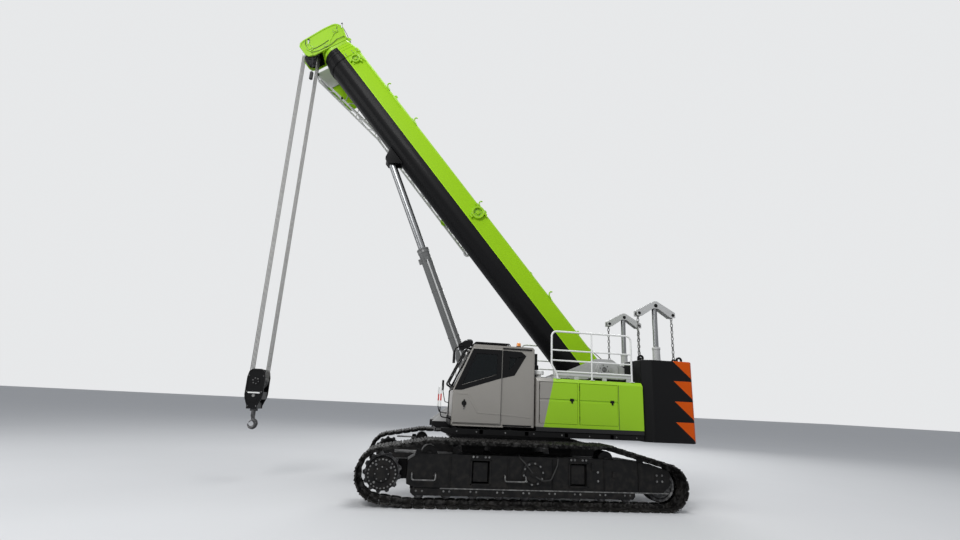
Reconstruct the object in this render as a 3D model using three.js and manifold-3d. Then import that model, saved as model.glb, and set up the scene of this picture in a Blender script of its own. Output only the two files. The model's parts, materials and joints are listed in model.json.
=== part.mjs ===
// Telescopic crawler crane, 60 t class, in travel-and-work order: boom raised, hook hanging.
// Millimetres, +Z up. The boom points along -Y, the operator's cab is on the +X side.
// Lengthwise places are first given from the slewing axis; SLEW_Y then centres the machine on Y = 0.

import * as THREE from "three";
import { mergeVertices } from "three/addons/utils/BufferGeometryUtils.js";
import Module from "manifold-3d";

// ---- driving dimensions -------------------------------------------------------------------

const SLEW_Y = 991.87; // slewing axis, so that the whole machine is centred lengthwise
const GAP = 0.3; // between fixed pieces that touch
const RUN = 10; // between pieces that move past each other

const TRACK = { inner: 1540, outer: 2340, thickness: 110, shoes: 68, groove: 14, grooveDepth: 26 };
const SPROCKET = { y: -2690, z: 540, r: 480 }; // radius over the shoes
const IDLER = { y: 2740, z: 440, r: 440 };
const CARRIER = { front: -1850, rear: 1600, z: 920, r: 250 };
const APPROACH = { y: -2200, z: 150, r: 150 }; // foremost bottom roller
const FRAME = { inner: 1620, outer: 2100, front: -2240, rear: 2910, bottom: 310, top: 900, plate: 40 };
const BEAM = { front: -875, rear: 1030, halfWidth: 145, bottom: 425, top: 775, reach: 2040 };
const ROLLERS = { count: 9, first: -2000, pitch: 500, z: 227, r: 110 };
const CARBODY = { half: 950, bottom: 440, top: 980 };
const RING = { inner: 660, outer: 850, top: 1080 };

const DECK = { bottom: 1085, top: 1115, radius: 1430 }; // turntable floor plate, inside the tracks
const OVER_TRACK = 1205; // lowest thing that swings over the tracks
const CHEEK = { inner: 430, outer: 480 }; // the two main side plates
const BODY = { side: 1500, inner: 560 }; // outer and inner faces of cab and hoods
const CAB = { front: -1430, rear: 300, bottom: 1400, top: 3050, sill: 2100, brow: -1020, wall: 60 };
const DOOR = { front: -1370, rear: -420, thickness: 45, travel: 740 };
const HOOD = { front: 340, rear: 2720, bottom: 1340, top: 2430, wall: 40 };
const HOOD_DOORS = [
  { front: 400, rear: 1240 },
  { front: 1280, rear: 2140 },
];
const WEIGHT = { front: 2750, rear: 3930, bottom: OVER_TRACK, top: 2950, slot: 540, slotDepth: 560 };
const LIFT = { x: 870, y: 3420, apex: 4420, arm: 430, armZ: 4115 };

const FOOT = { y: 2250, z: 2750 }; // boom foot pin
const LUFF = THREE.MathUtils.degToRad(50); // boom angle at rest
const BOOM = { width: 800, top: 100, bottom: -800, start: -250, end: 10500 };
const SECTION = { count: 5, wall: 16, step: 36, start: 350, collar: 80, collarPitch: 95 };
const HEAD = { start: 10912, end: 11500, bottom: -1150, half: 300, plate: 30 };
const FALLS_AXLE = { s: 11150, t: -950 };
const GUIDE_AXLE = { s: 11290, t: -90 };
const LUG = { s: 7440, t: -950 };
const JIB = { x: -900, z: -440, start: 4350, length: 6800, half: 130, spread: 0.004, bend: 4300, drop: 0.14, chord: 30 };
const CYLINDER = { footY: -580, footZ: 1600, barrelR: 140, rodR: 98, barrelLength: 4250, rodLength: 4300 };
const BLOCK = { top: 2350, bottom: 1500, half: 210, hookTip: 1060 };

// ---- shape helpers ------------------------------------------------------------------------

const wasm = await Module();
wasm.setup();

// A closed geometry as a solid that can be joined and cut.
function solidOf(geometry) {
  const shape = geometry.clone();
  shape.deleteAttribute("normal");
  shape.deleteAttribute("uv");
  const merged = mergeVertices(shape, 1e-3);
  const mesh = { numProp: 3, vertProperties: merged.attributes.position.array };
  mesh.triVerts = new Uint32Array(merged.index.array);
  const solid = new wasm.Manifold(new wasm.Mesh(mesh));
  if (solid.volume() > 0) return solid;
  mesh.triVerts.reverse();
  return new wasm.Manifold(new wasm.Mesh(mesh));
}

const join = (...solids) => solids.flat(2).reduce((whole, piece) => whole.add(piece));
const cut = (solid, ...tools) => tools.flat(2).reduce((whole, tool) => whole.subtract(tool), solid);

function geometryOf(solid) {
  const mesh = solid.getMesh();
  const geometry = new THREE.BufferGeometry();
  geometry.setAttribute("position", new THREE.BufferAttribute(mesh.vertProperties, 3));
  geometry.setIndex(new THREE.BufferAttribute(mesh.triVerts, 1));
  geometry.computeVertexNormals();
  return geometry;
}

// A box between two corners.
function box(x0, x1, y0, y1, z0, z1) {
  const geometry = new THREE.BoxGeometry(x1 - x0, y1 - y0, z1 - z0);
  return solidOf(geometry.translate((x0 + x1) / 2, (y0 + y1) / 2, (z0 + z1) / 2));
}

const outline = (points) => new THREE.Shape(points.map(([a, b]) => new THREE.Vector2(a, b)));

// Extrusions of a flat outline: prismX's outline is in (y, z), prismY's in (x, z), prismZ's in (x, y).
function prism(shape, depth, right, up, out, start) {
  const geometry = new THREE.ExtrudeGeometry(shape, { depth, bevelEnabled: false, curveSegments: 6 });
  const basis = new THREE.Matrix4().makeBasis(right, up, out);
  return solidOf(geometry.applyMatrix4(basis).translate(start.x, start.y, start.z));
}
const X = new THREE.Vector3(1, 0, 0);
const Y = new THREE.Vector3(0, 1, 0);
const Z = new THREE.Vector3(0, 0, 1);
const shapeOf = (figure) => (Array.isArray(figure) ? outline(figure) : figure);
function prismX(figure, x0, x1) {
  return prism(shapeOf(figure), x1 - x0, Y, Z, X, new THREE.Vector3(x0, 0, 0));
}
function prismY(figure, y0, y1) {
  const back = new THREE.Vector3(0, -1, 0);
  return prism(shapeOf(figure), y1 - y0, X, Z, back, new THREE.Vector3(0, y1, 0));
}
function prismZ(figure, z0, z1) {
  return prism(shapeOf(figure), z1 - z0, X, Y, Z, new THREE.Vector3(0, 0, z0));
}

// A round bar between two points.
function bar(from, to, radius, sides = 8) {
  const start = new THREE.Vector3(...from);
  const run = new THREE.Vector3(...to).sub(start);
  const geometry = new THREE.CylinderGeometry(radius, radius, run.length(), sides);
  geometry.translate(0, run.length() / 2, 0);
  geometry.applyQuaternion(new THREE.Quaternion().setFromUnitVectors(Y, run.clone().normalize()));
  return solidOf(geometry.translate(start.x, start.y, start.z));
}
const axle = (x0, x1, y, z, radius, sides = 24) => bar([x0, y, z], [x1, y, z], radius, sides);

// Round bars along a run of points.
function piping(points, radius, sides = 8) {
  return join(points.slice(1).map((point, i) => bar(points[i], point, radius, sides)));
}

// ---- finishes -----------------------------------------------------------------------------

function finish(color, roughness, metalness = 0) {
  return new THREE.MeshStandardMaterial({ color, roughness, metalness });
}
const LIME = finish(0x86c91e, 0.4);
const BLACK = finish(0x1b1b1d, 0.55);
const DARK_STEEL = finish(0x2b2b2c, 0.7, 0.4);
const WARM_GREY = finish(0x8c8984, 0.45);
const PALE_GREY = finish(0xb9bab8, 0.5);
const WHITE = finish(0xe4e4e2, 0.45);
const CHROME = finish(0xc9ccce, 0.2, 1);
const GLASS = finish(0x15181a, 0.1);
const FABRIC = finish(0x26272a, 0.9);
const ROPE = finish(0x6b6c6c, 0.5, 0.8);

const crane = new THREE.Group();
crane.position.y = SLEW_Y;

// The boom's own frame: origin on the foot pin, boom pointing along -Y, its top side up.
const boom = new THREE.Group();
boom.position.set(0, FOOT.y, FOOT.z);
boom.rotation.x = -LUFF;
crane.add(boom);

function node(name, solid, material, group = crane) {
  const mesh = new THREE.Mesh(geometryOf(solid), material);
  mesh.name = name;
  group.add(mesh);
}

// A mirrored copy on the -X side.
const mirrored = (solid) => solid.mirror([1, 0, 0]);
function pair(name, solid, material) {
  node(`left_${name}`, solid, material);
  node(`right_${name}`, mirrored(solid), material);
}

// ---- undercarriage ------------------------------------------------------------------------

// The belt line round a list of circles, taken anticlockwise: straight runs and arcs.
function beltLine(circles) {
  const normals = circles.map((a, i) => {
    const b = circles[(i + 1) % circles.length];
    const span = Math.hypot(b.y - a.y, b.z - a.z);
    return Math.atan2(b.z - a.z, b.y - a.y) - Math.acos((a.r - b.r) / span);
  });
  const pieces = [];
  circles.forEach((circle, i) => {
    const before = normals[(i + circles.length - 1) % circles.length];
    let turn = (normals[i] - before) % (2 * Math.PI);
    if (turn < 0) turn += 2 * Math.PI;
    pieces.push({ circle, from: before, turn, length: turn * circle.r });
    const next = circles[(i + 1) % circles.length];
    const span = Math.hypot(next.y - circle.y, next.z - circle.z);
    const length = Math.sqrt(span ** 2 - (circle.r - next.r) ** 2);
    pieces.push({ circle, from: normals[i], turn: 0, length });
  });
  return pieces;
}

// The point at a distance along the belt, moved out by an offset.
function beltPoint(pieces, distance, offset) {
  let left = distance;
  let i = 0;
  while (left > pieces[i].length && i < pieces.length - 1) left -= pieces[i++].length;
  const { circle, from, turn, length } = pieces[i];
  const angle = turn ? from + (turn * left) / length : from;
  const reach = circle.r + offset;
  const run = turn ? 0 : left;
  return [
    circle.y + reach * Math.cos(angle) - run * Math.sin(angle),
    circle.z + reach * Math.sin(angle) + run * Math.cos(angle),
  ];
}

// One closed loop of chain and shoes, with a groove between neighbouring shoes.
function trackLoop() {
  const { front, rear, z, r } = CARRIER;
  const belt = beltLine([APPROACH, IDLER, { y: rear, z, r }, { y: front, z, r }, SPROCKET]);
  const total = belt.reduce((sum, piece) => sum + piece.length, 0);
  const pitch = total / TRACK.shoes;
  const outside = [];
  for (let shoe = 0; shoe < TRACK.shoes; shoe++) {
    const start = shoe * pitch;
    const end = start + pitch - TRACK.groove;
    outside.push(beltPoint(belt, start, 0), beltPoint(belt, end, 0));
    outside.push(beltPoint(belt, end + TRACK.groove / 2, -TRACK.grooveDepth));
  }
  const inside = [];
  let along = 0;
  belt.forEach(({ turn, length }) => {
    const steps = Math.max(1, Math.ceil(turn / 0.3));
    for (let i = 0; i < steps; i++) {
      inside.push(beltPoint(belt, along + 0.5 + (i / steps) * (length - 1), -TRACK.thickness));
    }
    along += length;
  });
  const shape = outline(outside);
  shape.holes.push(outline(inside));
  return prismX(shape, TRACK.inner, TRACK.outer);
}

// A box girder, forked at the rear for the idler, with the axle beams' windows and two carrier rollers.
function trackFrame() {
  const { inner, outer, front, rear, bottom, top, plate } = FRAME;
  const side = [
    [front, bottom + 60], [front + 160, bottom], [rear - 160, bottom], [rear, bottom + 140],
    [rear, 720], [rear - 420, top - 60], [rear - 900, top], [front + 200, top], [front, top - 120],
  ];
  const arm = [[-2860, 420], [-2700, 380], [front, 400], [front + 80, 400], [front + 80, 760], [-2700, 760]];
  const girder = cut(
    prismX(side, inner, outer),
    [BEAM.front, BEAM.rear].map((y) => box(inner - 10, outer + 10, y - 165, y + 165, 400, 800)),
    box(inner + plate, outer - plate, IDLER.y - 390, rear + 10, bottom - 10, top + 10),
    box(inner + plate, outer - plate, front - 10, rear - 300, bottom - 10, bottom + 45),
    box(inner + plate, outer - plate, -500, 560, bottom + 85, top - plate),
    box(inner - 10, inner + plate + 10, -420, 480, 420, 780),
  );
  const carriers = [CARRIER.front, CARRIER.rear].map((y) => {
    const rollerZ = CARRIER.z - CARRIER.r + 250 - TRACK.thickness + 90;
    return join(
      axle(1740, 2060, y, rollerZ, 150, 16),
      axle(1700, 2095, y, rollerZ, 50, 12),
      prismX([[y - 70, top - 20], [y + 70, top - 20], [y + 45, rollerZ], [y - 45, rollerZ]], 1690, 1720),
    );
  });
  const boss = axle(outer - 10, outer + 40, 130, 600, 175, 20);
  return join(girder, prismX(arm, inner, inner + 70), carriers, boss);
}

// A toothed ring on its final drive, with the drive's bolted cover outside.
function driveSprocket() {
  const teeth = 13;
  const ring = [];
  for (let i = 0; i < teeth * 4; i++) {
    const angle = (i / (teeth * 4)) * 2 * Math.PI;
    const r = i % 4 < 2 ? SPROCKET.r - TRACK.thickness - 12 : SPROCKET.r - TRACK.thickness - 60;
    ring.push([SPROCKET.y + r * Math.cos(angle), SPROCKET.z + r * Math.sin(angle)]);
  }
  const start = FRAME.inner + 70 + GAP;
  const { y, z } = SPROCKET;
  return join(
    prismX(ring, 1900, 1980),
    axle(start, 2150, y, z, 240, 16),
    axle(2100, 2180, y, z, 275, 18),
    axle(2170, 2215, y, z, 130, 10),
  );
}

function idlerWheel() {
  const { y, z } = IDLER;
  const rim = IDLER.r - TRACK.thickness - 12;
  const wheel = cut(axle(1700, 2020, y, z, rim, 24), axle(1690, 1740, y, z, 230, 12),
    axle(1980, 2030, y, z, 230, 12));
  return join(wheel, axle(FRAME.inner + FRAME.plate + RUN, FRAME.outer - FRAME.plate - RUN, y, z, 90, 16));
}

// The bottom rollers, carried by their two guard rails.
function trackRollers() {
  const last = ROLLERS.first + (ROLLERS.count - 1) * ROLLERS.pitch;
  const rail = (x) => box(x, x + 25, ROLLERS.first - 110, last + 110, 180, FRAME.bottom - GAP);
  const rollers = [];
  for (let i = 0; i < ROLLERS.count; i++) {
    const y = ROLLERS.first + i * ROLLERS.pitch;
    rollers.push(axle(1760, 2040, y, ROLLERS.z, ROLLERS.r, 10), axle(1700, 2095, y, ROLLERS.z, 45, 4));
  }
  return join(rail(1690), rail(2080), rollers);
}

function carbody() {
  const { half, bottom, top } = CARBODY;
  const corner = 300;
  const plan = [
    [-half, -half - 50], [half, -half - 50], [half, -half + 60], [half - corner, -300], [half - corner, 460],
    [half, half - 100], [half, half + 260], [-half, half + 260], [-half, half - 100],
    [corner - half, 460], [corner - half, -300], [-half, -half + 60],
  ];
  const seat = bar([0, 0, top - 250], [0, 0, top], RING.outer + 40, 28);
  const bores = [BEAM.front, BEAM.rear].map((y) => {
    const w = BEAM.halfWidth + 5;
    return box(-half - 10, half + 10, y - w, y + w, BEAM.bottom - 5, BEAM.top + 5);
  });
  const centre = bar([0, 0, bottom - 10], [0, 0, top + 10], 260, 24);
  return cut(join(prismZ(plan, bottom - 50, top - 130), seat), bores, centre);
}

function axleBeam(y) {
  const { halfWidth, bottom, top, reach } = BEAM;
  return box(-reach, reach, y - halfWidth, y + halfWidth, bottom, top);
}

function slewingRing() {
  const ring = bar([0, 0, CARBODY.top + GAP], [0, 0, RING.top], RING.outer, 32);
  return cut(ring, bar([0, 0, CARBODY.top - 10], [0, 0, RING.top + 10], RING.inner, 28));
}

function undercarriage() {
  node("carbody", carbody(), DARK_STEEL);
  node("front_axle_beam", axleBeam(BEAM.front), DARK_STEEL);
  node("rear_axle_beam", axleBeam(BEAM.rear), DARK_STEEL);
  node("slewing_ring", slewingRing(), DARK_STEEL);
  pair("track_frame", trackFrame(), DARK_STEEL);
  pair("track", trackLoop(), DARK_STEEL);
  pair("drive_sprocket", driveSprocket(), DARK_STEEL);
  pair("idler", idlerWheel(), DARK_STEEL);
  pair("track_rollers", trackRollers(), DARK_STEEL);
}

// ---- turntable ----------------------------------------------------------------------------

// Floor plate, two side plates that hold the boom foot, and outriggers under cab, hoods and tank.
// The channel between the side plates stays open for the luffing cylinder's foot.
function turntableFrame() {
  const deck = [];
  const half = CHEEK.outer + 20;
  const reach = Math.sqrt(DECK.radius ** 2 - half ** 2);
  deck.push([-half, -reach], [half, -reach], [half, reach], [-half, reach]);
  const cheek = [
    [-1750, 1290], [-1340, OVER_TRACK], [-1300, DECK.bottom + 10], [reach - 20, DECK.bottom + 10],
    [reach + 20, OVER_TRACK], [3250, OVER_TRACK + 60], [3250, 2300], [2860, 2760], [2480, 3000], [2080, 3000],
    [700, 2390], [-150, 1880], [-1150, 1880], [-1750, 1420],
  ];
  const cheeks = [1, -1].map((side) => {
    const x = side > 0 ? CHEEK.inner : -CHEEK.outer;
    return prismX(cheek, x, x + CHEEK.outer - CHEEK.inner);
  });
  const outriggers = [-1250, -200, 500, 1500, 2500].map((y) => {
    const low = OVER_TRACK + 20;
    const high = HOOD.bottom - GAP;
    return [box(CHEEK.outer - 5, 1440, y - 60, y + 60, low, high),
      box(-1440, 5 - CHEEK.outer, y - 60, y + 60, low, high)];
  });
  const tie = (y, z) => bar([-CHEEK.inner - 10, y, z], [CHEEK.inner + 10, y, z], 60, 8);
  const boss = (x0, x1) => axle(x0, x1, FOOT.y, FOOT.z, 190, 16);
  return join(
    prismZ(deck, DECK.bottom, DECK.top),
    cheeks,
    outriggers,
    tie(1750, 1400),
    tie(3150, 1500),
    tie(700, 1500),
    boss(CHEEK.outer - 5, CHEEK.outer + 50),
    boss(-CHEEK.outer - 50, 5 - CHEEK.outer),
  );
}

// A drum between two flanges, on its gearbox.
function winch(y, z, drumR, flangeR) {
  const reach = CHEEK.inner - GAP;
  return join(
    axle(-reach, reach, y, z, drumR * 0.6, 8),
    axle(-330, 330, y, z, drumR, 16),
    axle(-355, -325, y, z, flangeR, 16),
    axle(325, 355, y, z, flangeR, 16),
  );
}

// ---- cab ----------------------------------------------------------------------------------

const CAB_SIDE = [
  [CAB.front, CAB.bottom], [CAB.rear, CAB.bottom], [CAB.rear, CAB.top - 40], [CAB.rear - 40, CAB.top],
  [CAB.brow, CAB.top], [CAB.front + 10, CAB.sill],
];

// The cab's side outline, drawn in by a wall's thickness.
const CAB_INSIDE = [
  [CAB.front + CAB.wall, CAB.bottom + CAB.wall], [CAB.rear - CAB.wall, CAB.bottom + CAB.wall],
  [CAB.rear - CAB.wall, CAB.top - CAB.wall], [CAB.brow + 40, CAB.top - CAB.wall],
  [CAB.front + CAB.wall + 10, CAB.sill - 10],
];

// The side window, running on from the door into the panel behind it.
const SIDE_WINDOW = [
  [-1360, 2180], [-1010, 2940], [-10, 2900], [30, 2860], [-180, 2540], [-460, 2440], [-1300, 2180],
];

// The panel behind the door is set in by the door's thickness, so that the door slides over it.
function cabShell() {
  const skin = BODY.side - DOOR.thickness - RUN;
  const shell = cut(
    prismX(CAB_SIDE, BODY.inner, skin),
    prismX(CAB_INSIDE, BODY.inner + CAB.wall, skin - CAB.wall),
  );
  const windscreen = [[-1600, 2150], [-1300, 2150], [-1000, 2930], [-1300, 2930]];
  const doorway = [
    [DOOR.front + 70, CAB.bottom + 110], [DOOR.rear - 50, CAB.bottom + 110], [DOOR.rear - 50, 2880],
    [-1040, 2880], [-1320, 2180], [DOOR.front + 70, 2100],
  ];
  const roofLight = box(BODY.inner + 150, skin - 150, -900, -350, CAB.top - 100, CAB.top + 10);
  const rearLight = box(BODY.inner + 150, skin - 150, CAB.rear - 100, CAB.rear + 10, 2250, 2850);
  const quarter = [[DOOR.rear + 60, 2480], [DOOR.rear + 60, 2880], [-30, 2860], [-200, 2560]];
  const rightWindow = SIDE_WINDOW.map(([y, z]) => [y + 40, z]);
  return cut(
    shell,
    prismX(windscreen, BODY.inner + 90, skin - 90),
    prismX(doorway, skin - CAB.wall - 10, skin + 10),
    prismX(quarter, skin - CAB.wall - 10, skin + 10),
    prismX(rightWindow, BODY.inner - 10, BODY.inner + CAB.wall + 10),
    roofLight,
    rearLight,
  );
}

function cabDoor() {
  const x0 = BODY.side - DOOR.thickness;
  const panel = [
    [DOOR.front - 40, CAB.bottom + 50], [DOOR.rear, CAB.bottom + 50], [DOOR.rear, 2970],
    [-1060, 2970], [DOOR.front - 45, 2110],
  ];
  const window = [
    [-1350, 2185], [-1020, 2900], [DOOR.rear - 50, 2885], [DOOR.rear - 50, 2455], [-1290, 2185],
  ];
  return cut(prismX(panel, x0, BODY.side), prismX(window, x0 - 10, BODY.side + 10));
}

function operatorSeat() {
  const floor = CAB.bottom + CAB.wall + GAP;
  const x = 1010;
  return join(
    box(x - 120, x + 120, -600, -300, floor, 1700),
    box(x - 250, x + 250, -800, -250, 1690, 1850),
    prismX([[-330, 1800], [-200, 1800], [-60, 2480], [-160, 2520]], x - 240, x + 240),
    box(x - 130, x + 130, -160, -60, 2450, 2680),
  );
}

// Two armrest consoles and the display post in front, on one floor plate.
function controlConsole() {
  const floor = CAB.bottom + CAB.wall + GAP;
  const stand = (x0) =>
    join(box(x0, x0 + 90, -790, -380, floor, 1960), axle(x0 + 10, x0 + 80, -720, 1975, 40, 12));
  return join(
    box(640, 1340, -840, -805, floor, floor + 60),
    box(640, 730, -806, -380, floor, floor + 60),
    stand(640),
    box(640, 720, -1330, -800, floor, floor + 60),
    box(645, 715, -1230, -1150, floor, 2150),
    box(640, 730, -1240, -1130, 2050, 2320),
  );
}

function cab() {
  const skin = BODY.side - DOOR.thickness - RUN;
  node("cab_shell", cabShell(), WARM_GREY);
  node("cab_door", cabDoor(), WARM_GREY);
  const pane = 12;
  const doorPane = [
    [-1346, 2189], [-1022, 2895], [DOOR.rear - 54, 2880], [DOOR.rear - 54, 2460], [-1290, 2189],
  ];
  const doorMid = BODY.side - DOOR.thickness / 2;
  node("cab_door_glass", prismX(doorPane, doorMid - pane, doorMid + pane), GLASS);
  const lean = (CAB.brow - CAB.front - 10) / (CAB.top - CAB.sill);
  const frontAt = (z) => CAB.front + 10 + lean * (z - CAB.sill);
  const screen = [[frontAt(2156) + 12, 2156], [frontAt(2924) + 12, 2924], [frontAt(2924) + 34, 2924],
    [frontAt(2156) + 34, 2156]];
  node("cab_windscreen", prismX(screen, BODY.inner + 94, skin - 94), GLASS);
  const quarter = [[DOOR.rear + 64, 2488], [DOOR.rear + 64, 2875], [-36, 2856], [-204, 2566]];
  node("cab_quarter_glass", prismX(quarter, skin - 40, skin - 20), GLASS);
  const right = SIDE_WINDOW.map(([y, z]) => [(y + 40 + 620) * 0.985 - 620, (z - 2560) * 0.985 + 2560]);
  node("cab_right_glass", prismX(right, BODY.inner + 20, BODY.inner + 40), GLASS);
  const half = 154;
  node("cab_roof_glass",
    box(BODY.inner + half, skin - half, -896, -354, CAB.top - 40, CAB.top - 20), GLASS);
  node("cab_rear_glass",
    box(BODY.inner + half, skin - half, CAB.rear - 40, CAB.rear - 20, 2254, 2846), GLASS);
  node("operator_seat", operatorSeat(), FABRIC);
  node("control_console", controlConsole(), BLACK);
}

// ---- hoods, tank, engine, counterweight ---------------------------------------------------

// A hollow housing with two doorways in its outer side and an open floor.
function hood() {
  const { front, rear, bottom, top, wall } = HOOD;
  const bevel = 70;
  const section = [
    [BODY.inner, bottom], [BODY.side, bottom], [BODY.side, top - bevel], [BODY.side - bevel, top],
    [BODY.inner, top],
  ];
  const hollow = [
    [BODY.inner + wall, bottom - 10], [BODY.side - wall, bottom - 10], [BODY.side - wall, top - bevel - 20],
    [BODY.side - bevel - 20, top - wall], [BODY.inner + wall, top - wall],
  ];
  const doorways = HOOD_DOORS.map((door) =>
    box(BODY.side - wall - 10, BODY.side + 10, door.front, door.rear, 1500, 2350));
  return cut(prismY(section, front, rear), prismY(hollow, front + wall, rear - wall), doorways);
}

function hoodDoor(door) {
  const edge = 6;
  return box(BODY.side - HOOD.wall, BODY.side, door.front + edge, door.rear - edge, 1500 + edge, 2350 - edge);
}

function fuelTank() {
  const plan = [[-1420, -1080], [-1340, -1180], [-640, -1180], [-560, -1100], [-560, 290], [-1420, 290]];
  return prismZ(plan, HOOD.bottom, 2060);
}

// Cast slabs stacked as one block, with a slot at the front for the frame's tail and the winches.
function counterweight() {
  const { front, rear, bottom, top, slot, slotDepth } = WEIGHT;
  const side = BODY.side;
  const plan = [
    [-side + 120, front], [-slot, front], [-slot, front + slotDepth], [slot, front + slotDepth],
    [slot, front], [side - 120, front], [side, front + 200], [side, rear - 60], [side - 60, rear],
    [60 - side, rear], [-side, rear - 60], [-side, front + 200],
  ];
  return prismZ(plan, bottom, top);
}

// A lifting cylinder that stands on the counterweight, with its yoke.
function counterweightLift() {
  const { x, y, apex, arm, armZ } = LIFT;
  const base = WEIGHT.top + GAP;
  const yoke = [
    [y - arm - 60, armZ - 70], [y - arm + 60, armZ - 70], [y - 60, apex - 170], [y + 60, apex - 170],
    [y + arm - 60, armZ - 70], [y + arm + 60, armZ - 70], [y + arm + 60, armZ + 50], [y, apex],
    [y - arm - 60, armZ + 50],
  ];
  return join(
    bar([x, y, base], [x, y, base + 70], 130, 12),
    bar([x, y, base], [x, y, apex - 120], 62, 12),
    prismX(yoke, x - 90, x - 60),
    prismX(yoke, x + 60, x + 90),
    axle(x - 90, x + 90, y, apex - 110, 45, 8),
    [y - arm, y + arm].map((end) => axle(x - 90, x + 90, end, armZ, 30, 8)),
  );
}

// Guard rail: an outer frame, two inner rails and a middle post, standing on the hood.
function handrail() {
  const x = BODY.side - 90;
  const r = 21;
  const foot = HOOD.top + GAP;
  const [front, rear, top] = [690, 2520, 3450];
  const frame = piping([
    [x, front + 90, foot], [x, front + 90, foot + 110], [x, front, foot + 230],
    [x, front, top - 90], [x, front + 90, top],
    [x, rear - 90, top], [x, rear, top - 90], [x, rear, foot],
  ], r, 6);
  const rails = [2820, 3040].map((z) => bar([x, front, z], [x, rear, z], r * 0.8, 6));
  const toe = bar([x, front + 90, foot + 110], [x, rear, foot + 110], r * 0.8, 6);
  return join(frame, rails, toe, bar([x, 1600, foot], [x, 1600, top], r * 0.8, 6));
}

function upperstructure() {
  node("turntable_frame", turntableFrame(), PALE_GREY);
  node("main_winch", winch(2850, 2480, 190, 265), BLACK);
  node("auxiliary_winch", winch(2850, 1860, 190, 265), BLACK);
  cab();
  pair("hood", hood(), LIME);
  HOOD_DOORS.forEach((door, i) => {
    const place = i ? "rear" : "front";
    node(`left_${place}_hood_door`, hoodDoor(door), LIME);
    node(`right_${place}_hood_door`, mirrored(hoodDoor(door)), LIME);
  });
  const floor = HOOD.bottom;
  node("engine_block", box(680, 1360, 560, 1960, floor, 2200), DARK_STEEL);
  node("hydraulic_tank", box(-1380, -640, 560, 1500, floor, 2200), DARK_STEEL);
  node("fuel_tank", fuelTank(), BLACK);
  node("counterweight", counterweight(), BLACK);
  pair("counterweight_lift", counterweightLift(), PALE_GREY);
  pair("handrail", handrail(), WHITE);
}

// ---- boom, in its own frame ---------------------------------------------------------------

// The boom's cross-section in (x, z), drawn in by an inset: flat top, half-round belly.
function boomOutline(inset) {
  const half = BOOM.width / 2 - inset;
  const top = BOOM.top - inset;
  const bottom = BOOM.bottom + inset;
  const spring = bottom + half * 0.9;
  const bevel = 50;
  const shape = new THREE.Shape();
  shape.moveTo(-half, spring);
  shape.absellipse(0, spring, half, spring - bottom, Math.PI, 2 * Math.PI);
  shape.lineTo(half, top - bevel);
  shape.lineTo(half - bevel, top);
  shape.lineTo(bevel - half, top);
  shape.lineTo(-half, top - bevel);
  shape.closePath();
  return shape;
}

function boomTube(outerInset, wall, from, to) {
  const shape = boomOutline(outerInset);
  shape.holes.push(boomOutline(outerInset + wall));
  return prismY(shape, -to, -from);
}

// The outermost section, with its foot bosses, the cylinder's lugs and the brackets of the stowed jib.
function baseSection() {
  const tube = boomTube(0, SECTION.wall, BOOM.start, BOOM.end);
  const half = BOOM.width / 2;
  const bosses = [
    axle(half - 14, CHEEK.inner - RUN, 0, 0, 170, 16),
    axle(RUN - CHEEK.inner, 14 - half, 0, 0, 170, 16),
  ];
  const lug = [
    [-LUG.s - 260, BOOM.bottom + 20], [-LUG.s + 260, BOOM.bottom + 20], [-LUG.s + 110, LUG.t - 90],
    [-LUG.s + 60, LUG.t - 130], [-LUG.s - 60, LUG.t - 130], [-LUG.s - 110, LUG.t - 90],
  ];
  const saddle = box(-175, 175, -LUG.s - 270, -LUG.s + 270, BOOM.bottom - 4, BOOM.bottom + 14);
  const pin = axle(-160, 160, -LUG.s, LUG.t, 60, 16);
  const lugs = [prismX(lug, 120, 165), prismX(lug, -165, -120)];
  const hangers = [5500, 9800].map((s) => {
    const reach = jibHalf(s - JIB.start);
    const tip = JIB.x + reach + JIB.chord + RUN;
    return box(tip, 5 - half, -s - 60, -s + 60, BOOM.top - 420, BOOM.top - 340).add(
      box(tip, tip + 60, -s - 60, -s + 60, JIB.z + reach - 60, BOOM.top - 340));
  });
  const crown = [1000, 4900, 8900].map((s) => box(-60, 60, -s - 60, -s + 60, BOOM.top - 10, BOOM.top + 90));
  return join(tube, bosses, saddle, lugs, pin, hangers, crown);
}

// An inner section, with the collar at its front end.
function innerSection(i) {
  const inset = i * SECTION.step;
  const end = BOOM.end + i * SECTION.collarPitch;
  const collar = boomTube(inset - 20 * i, SECTION.wall + 20 * i, end - SECTION.collar, end);
  return join(boomTube(inset, SECTION.wall, SECTION.start + 40 * i, end), collar);
}

function boomHead() {
  const { start, end, bottom, half, plate } = HEAD;
  const cheek = [
    [-start, 40], [-11240, 140], [-11430, 110], [-end, -60], [-end, -330], [-11440, -980],
    [-11330, bottom], [-11000, bottom], [-start, -960],
  ];
  const axleEnds = ({ s, t }) =>
    cut(axle(-half - 30, half + 30, -s, t, 58, 6), axle(plate - half, half - plate, -s, t, 70, 6));
  return join(
    prismX(cheek, half - plate, half),
    prismX(cheek, -half, plate - half),
    box(-half, half, -start - 24, -start, -900, 30),
    box(-half, half, -11460, -11436, -640, -320),
    axle(plate - half - 5, half - plate + 5, -11000, -560, 50, 12),
    axleEnds(FALLS_AXLE),
    axleEnds(GUIDE_AXLE),
  );
}

// Sheaves side by side on one shaft.
function sheaves(y, z, radius, count, pitch, reach) {
  const discs = [];
  for (let i = 0; i < count; i++) {
    const x = (i - (count - 1) / 2) * pitch;
    discs.push(axle(x - pitch * 0.4, x + pitch * 0.4, y, z, radius, 14));
  }
  return join(axle(-reach, reach, y, z, 55, 10), discs);
}

// Half the jib's width at a distance from its tip.
const jibHalf = (distance) => JIB.half + JIB.spread * distance;

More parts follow.
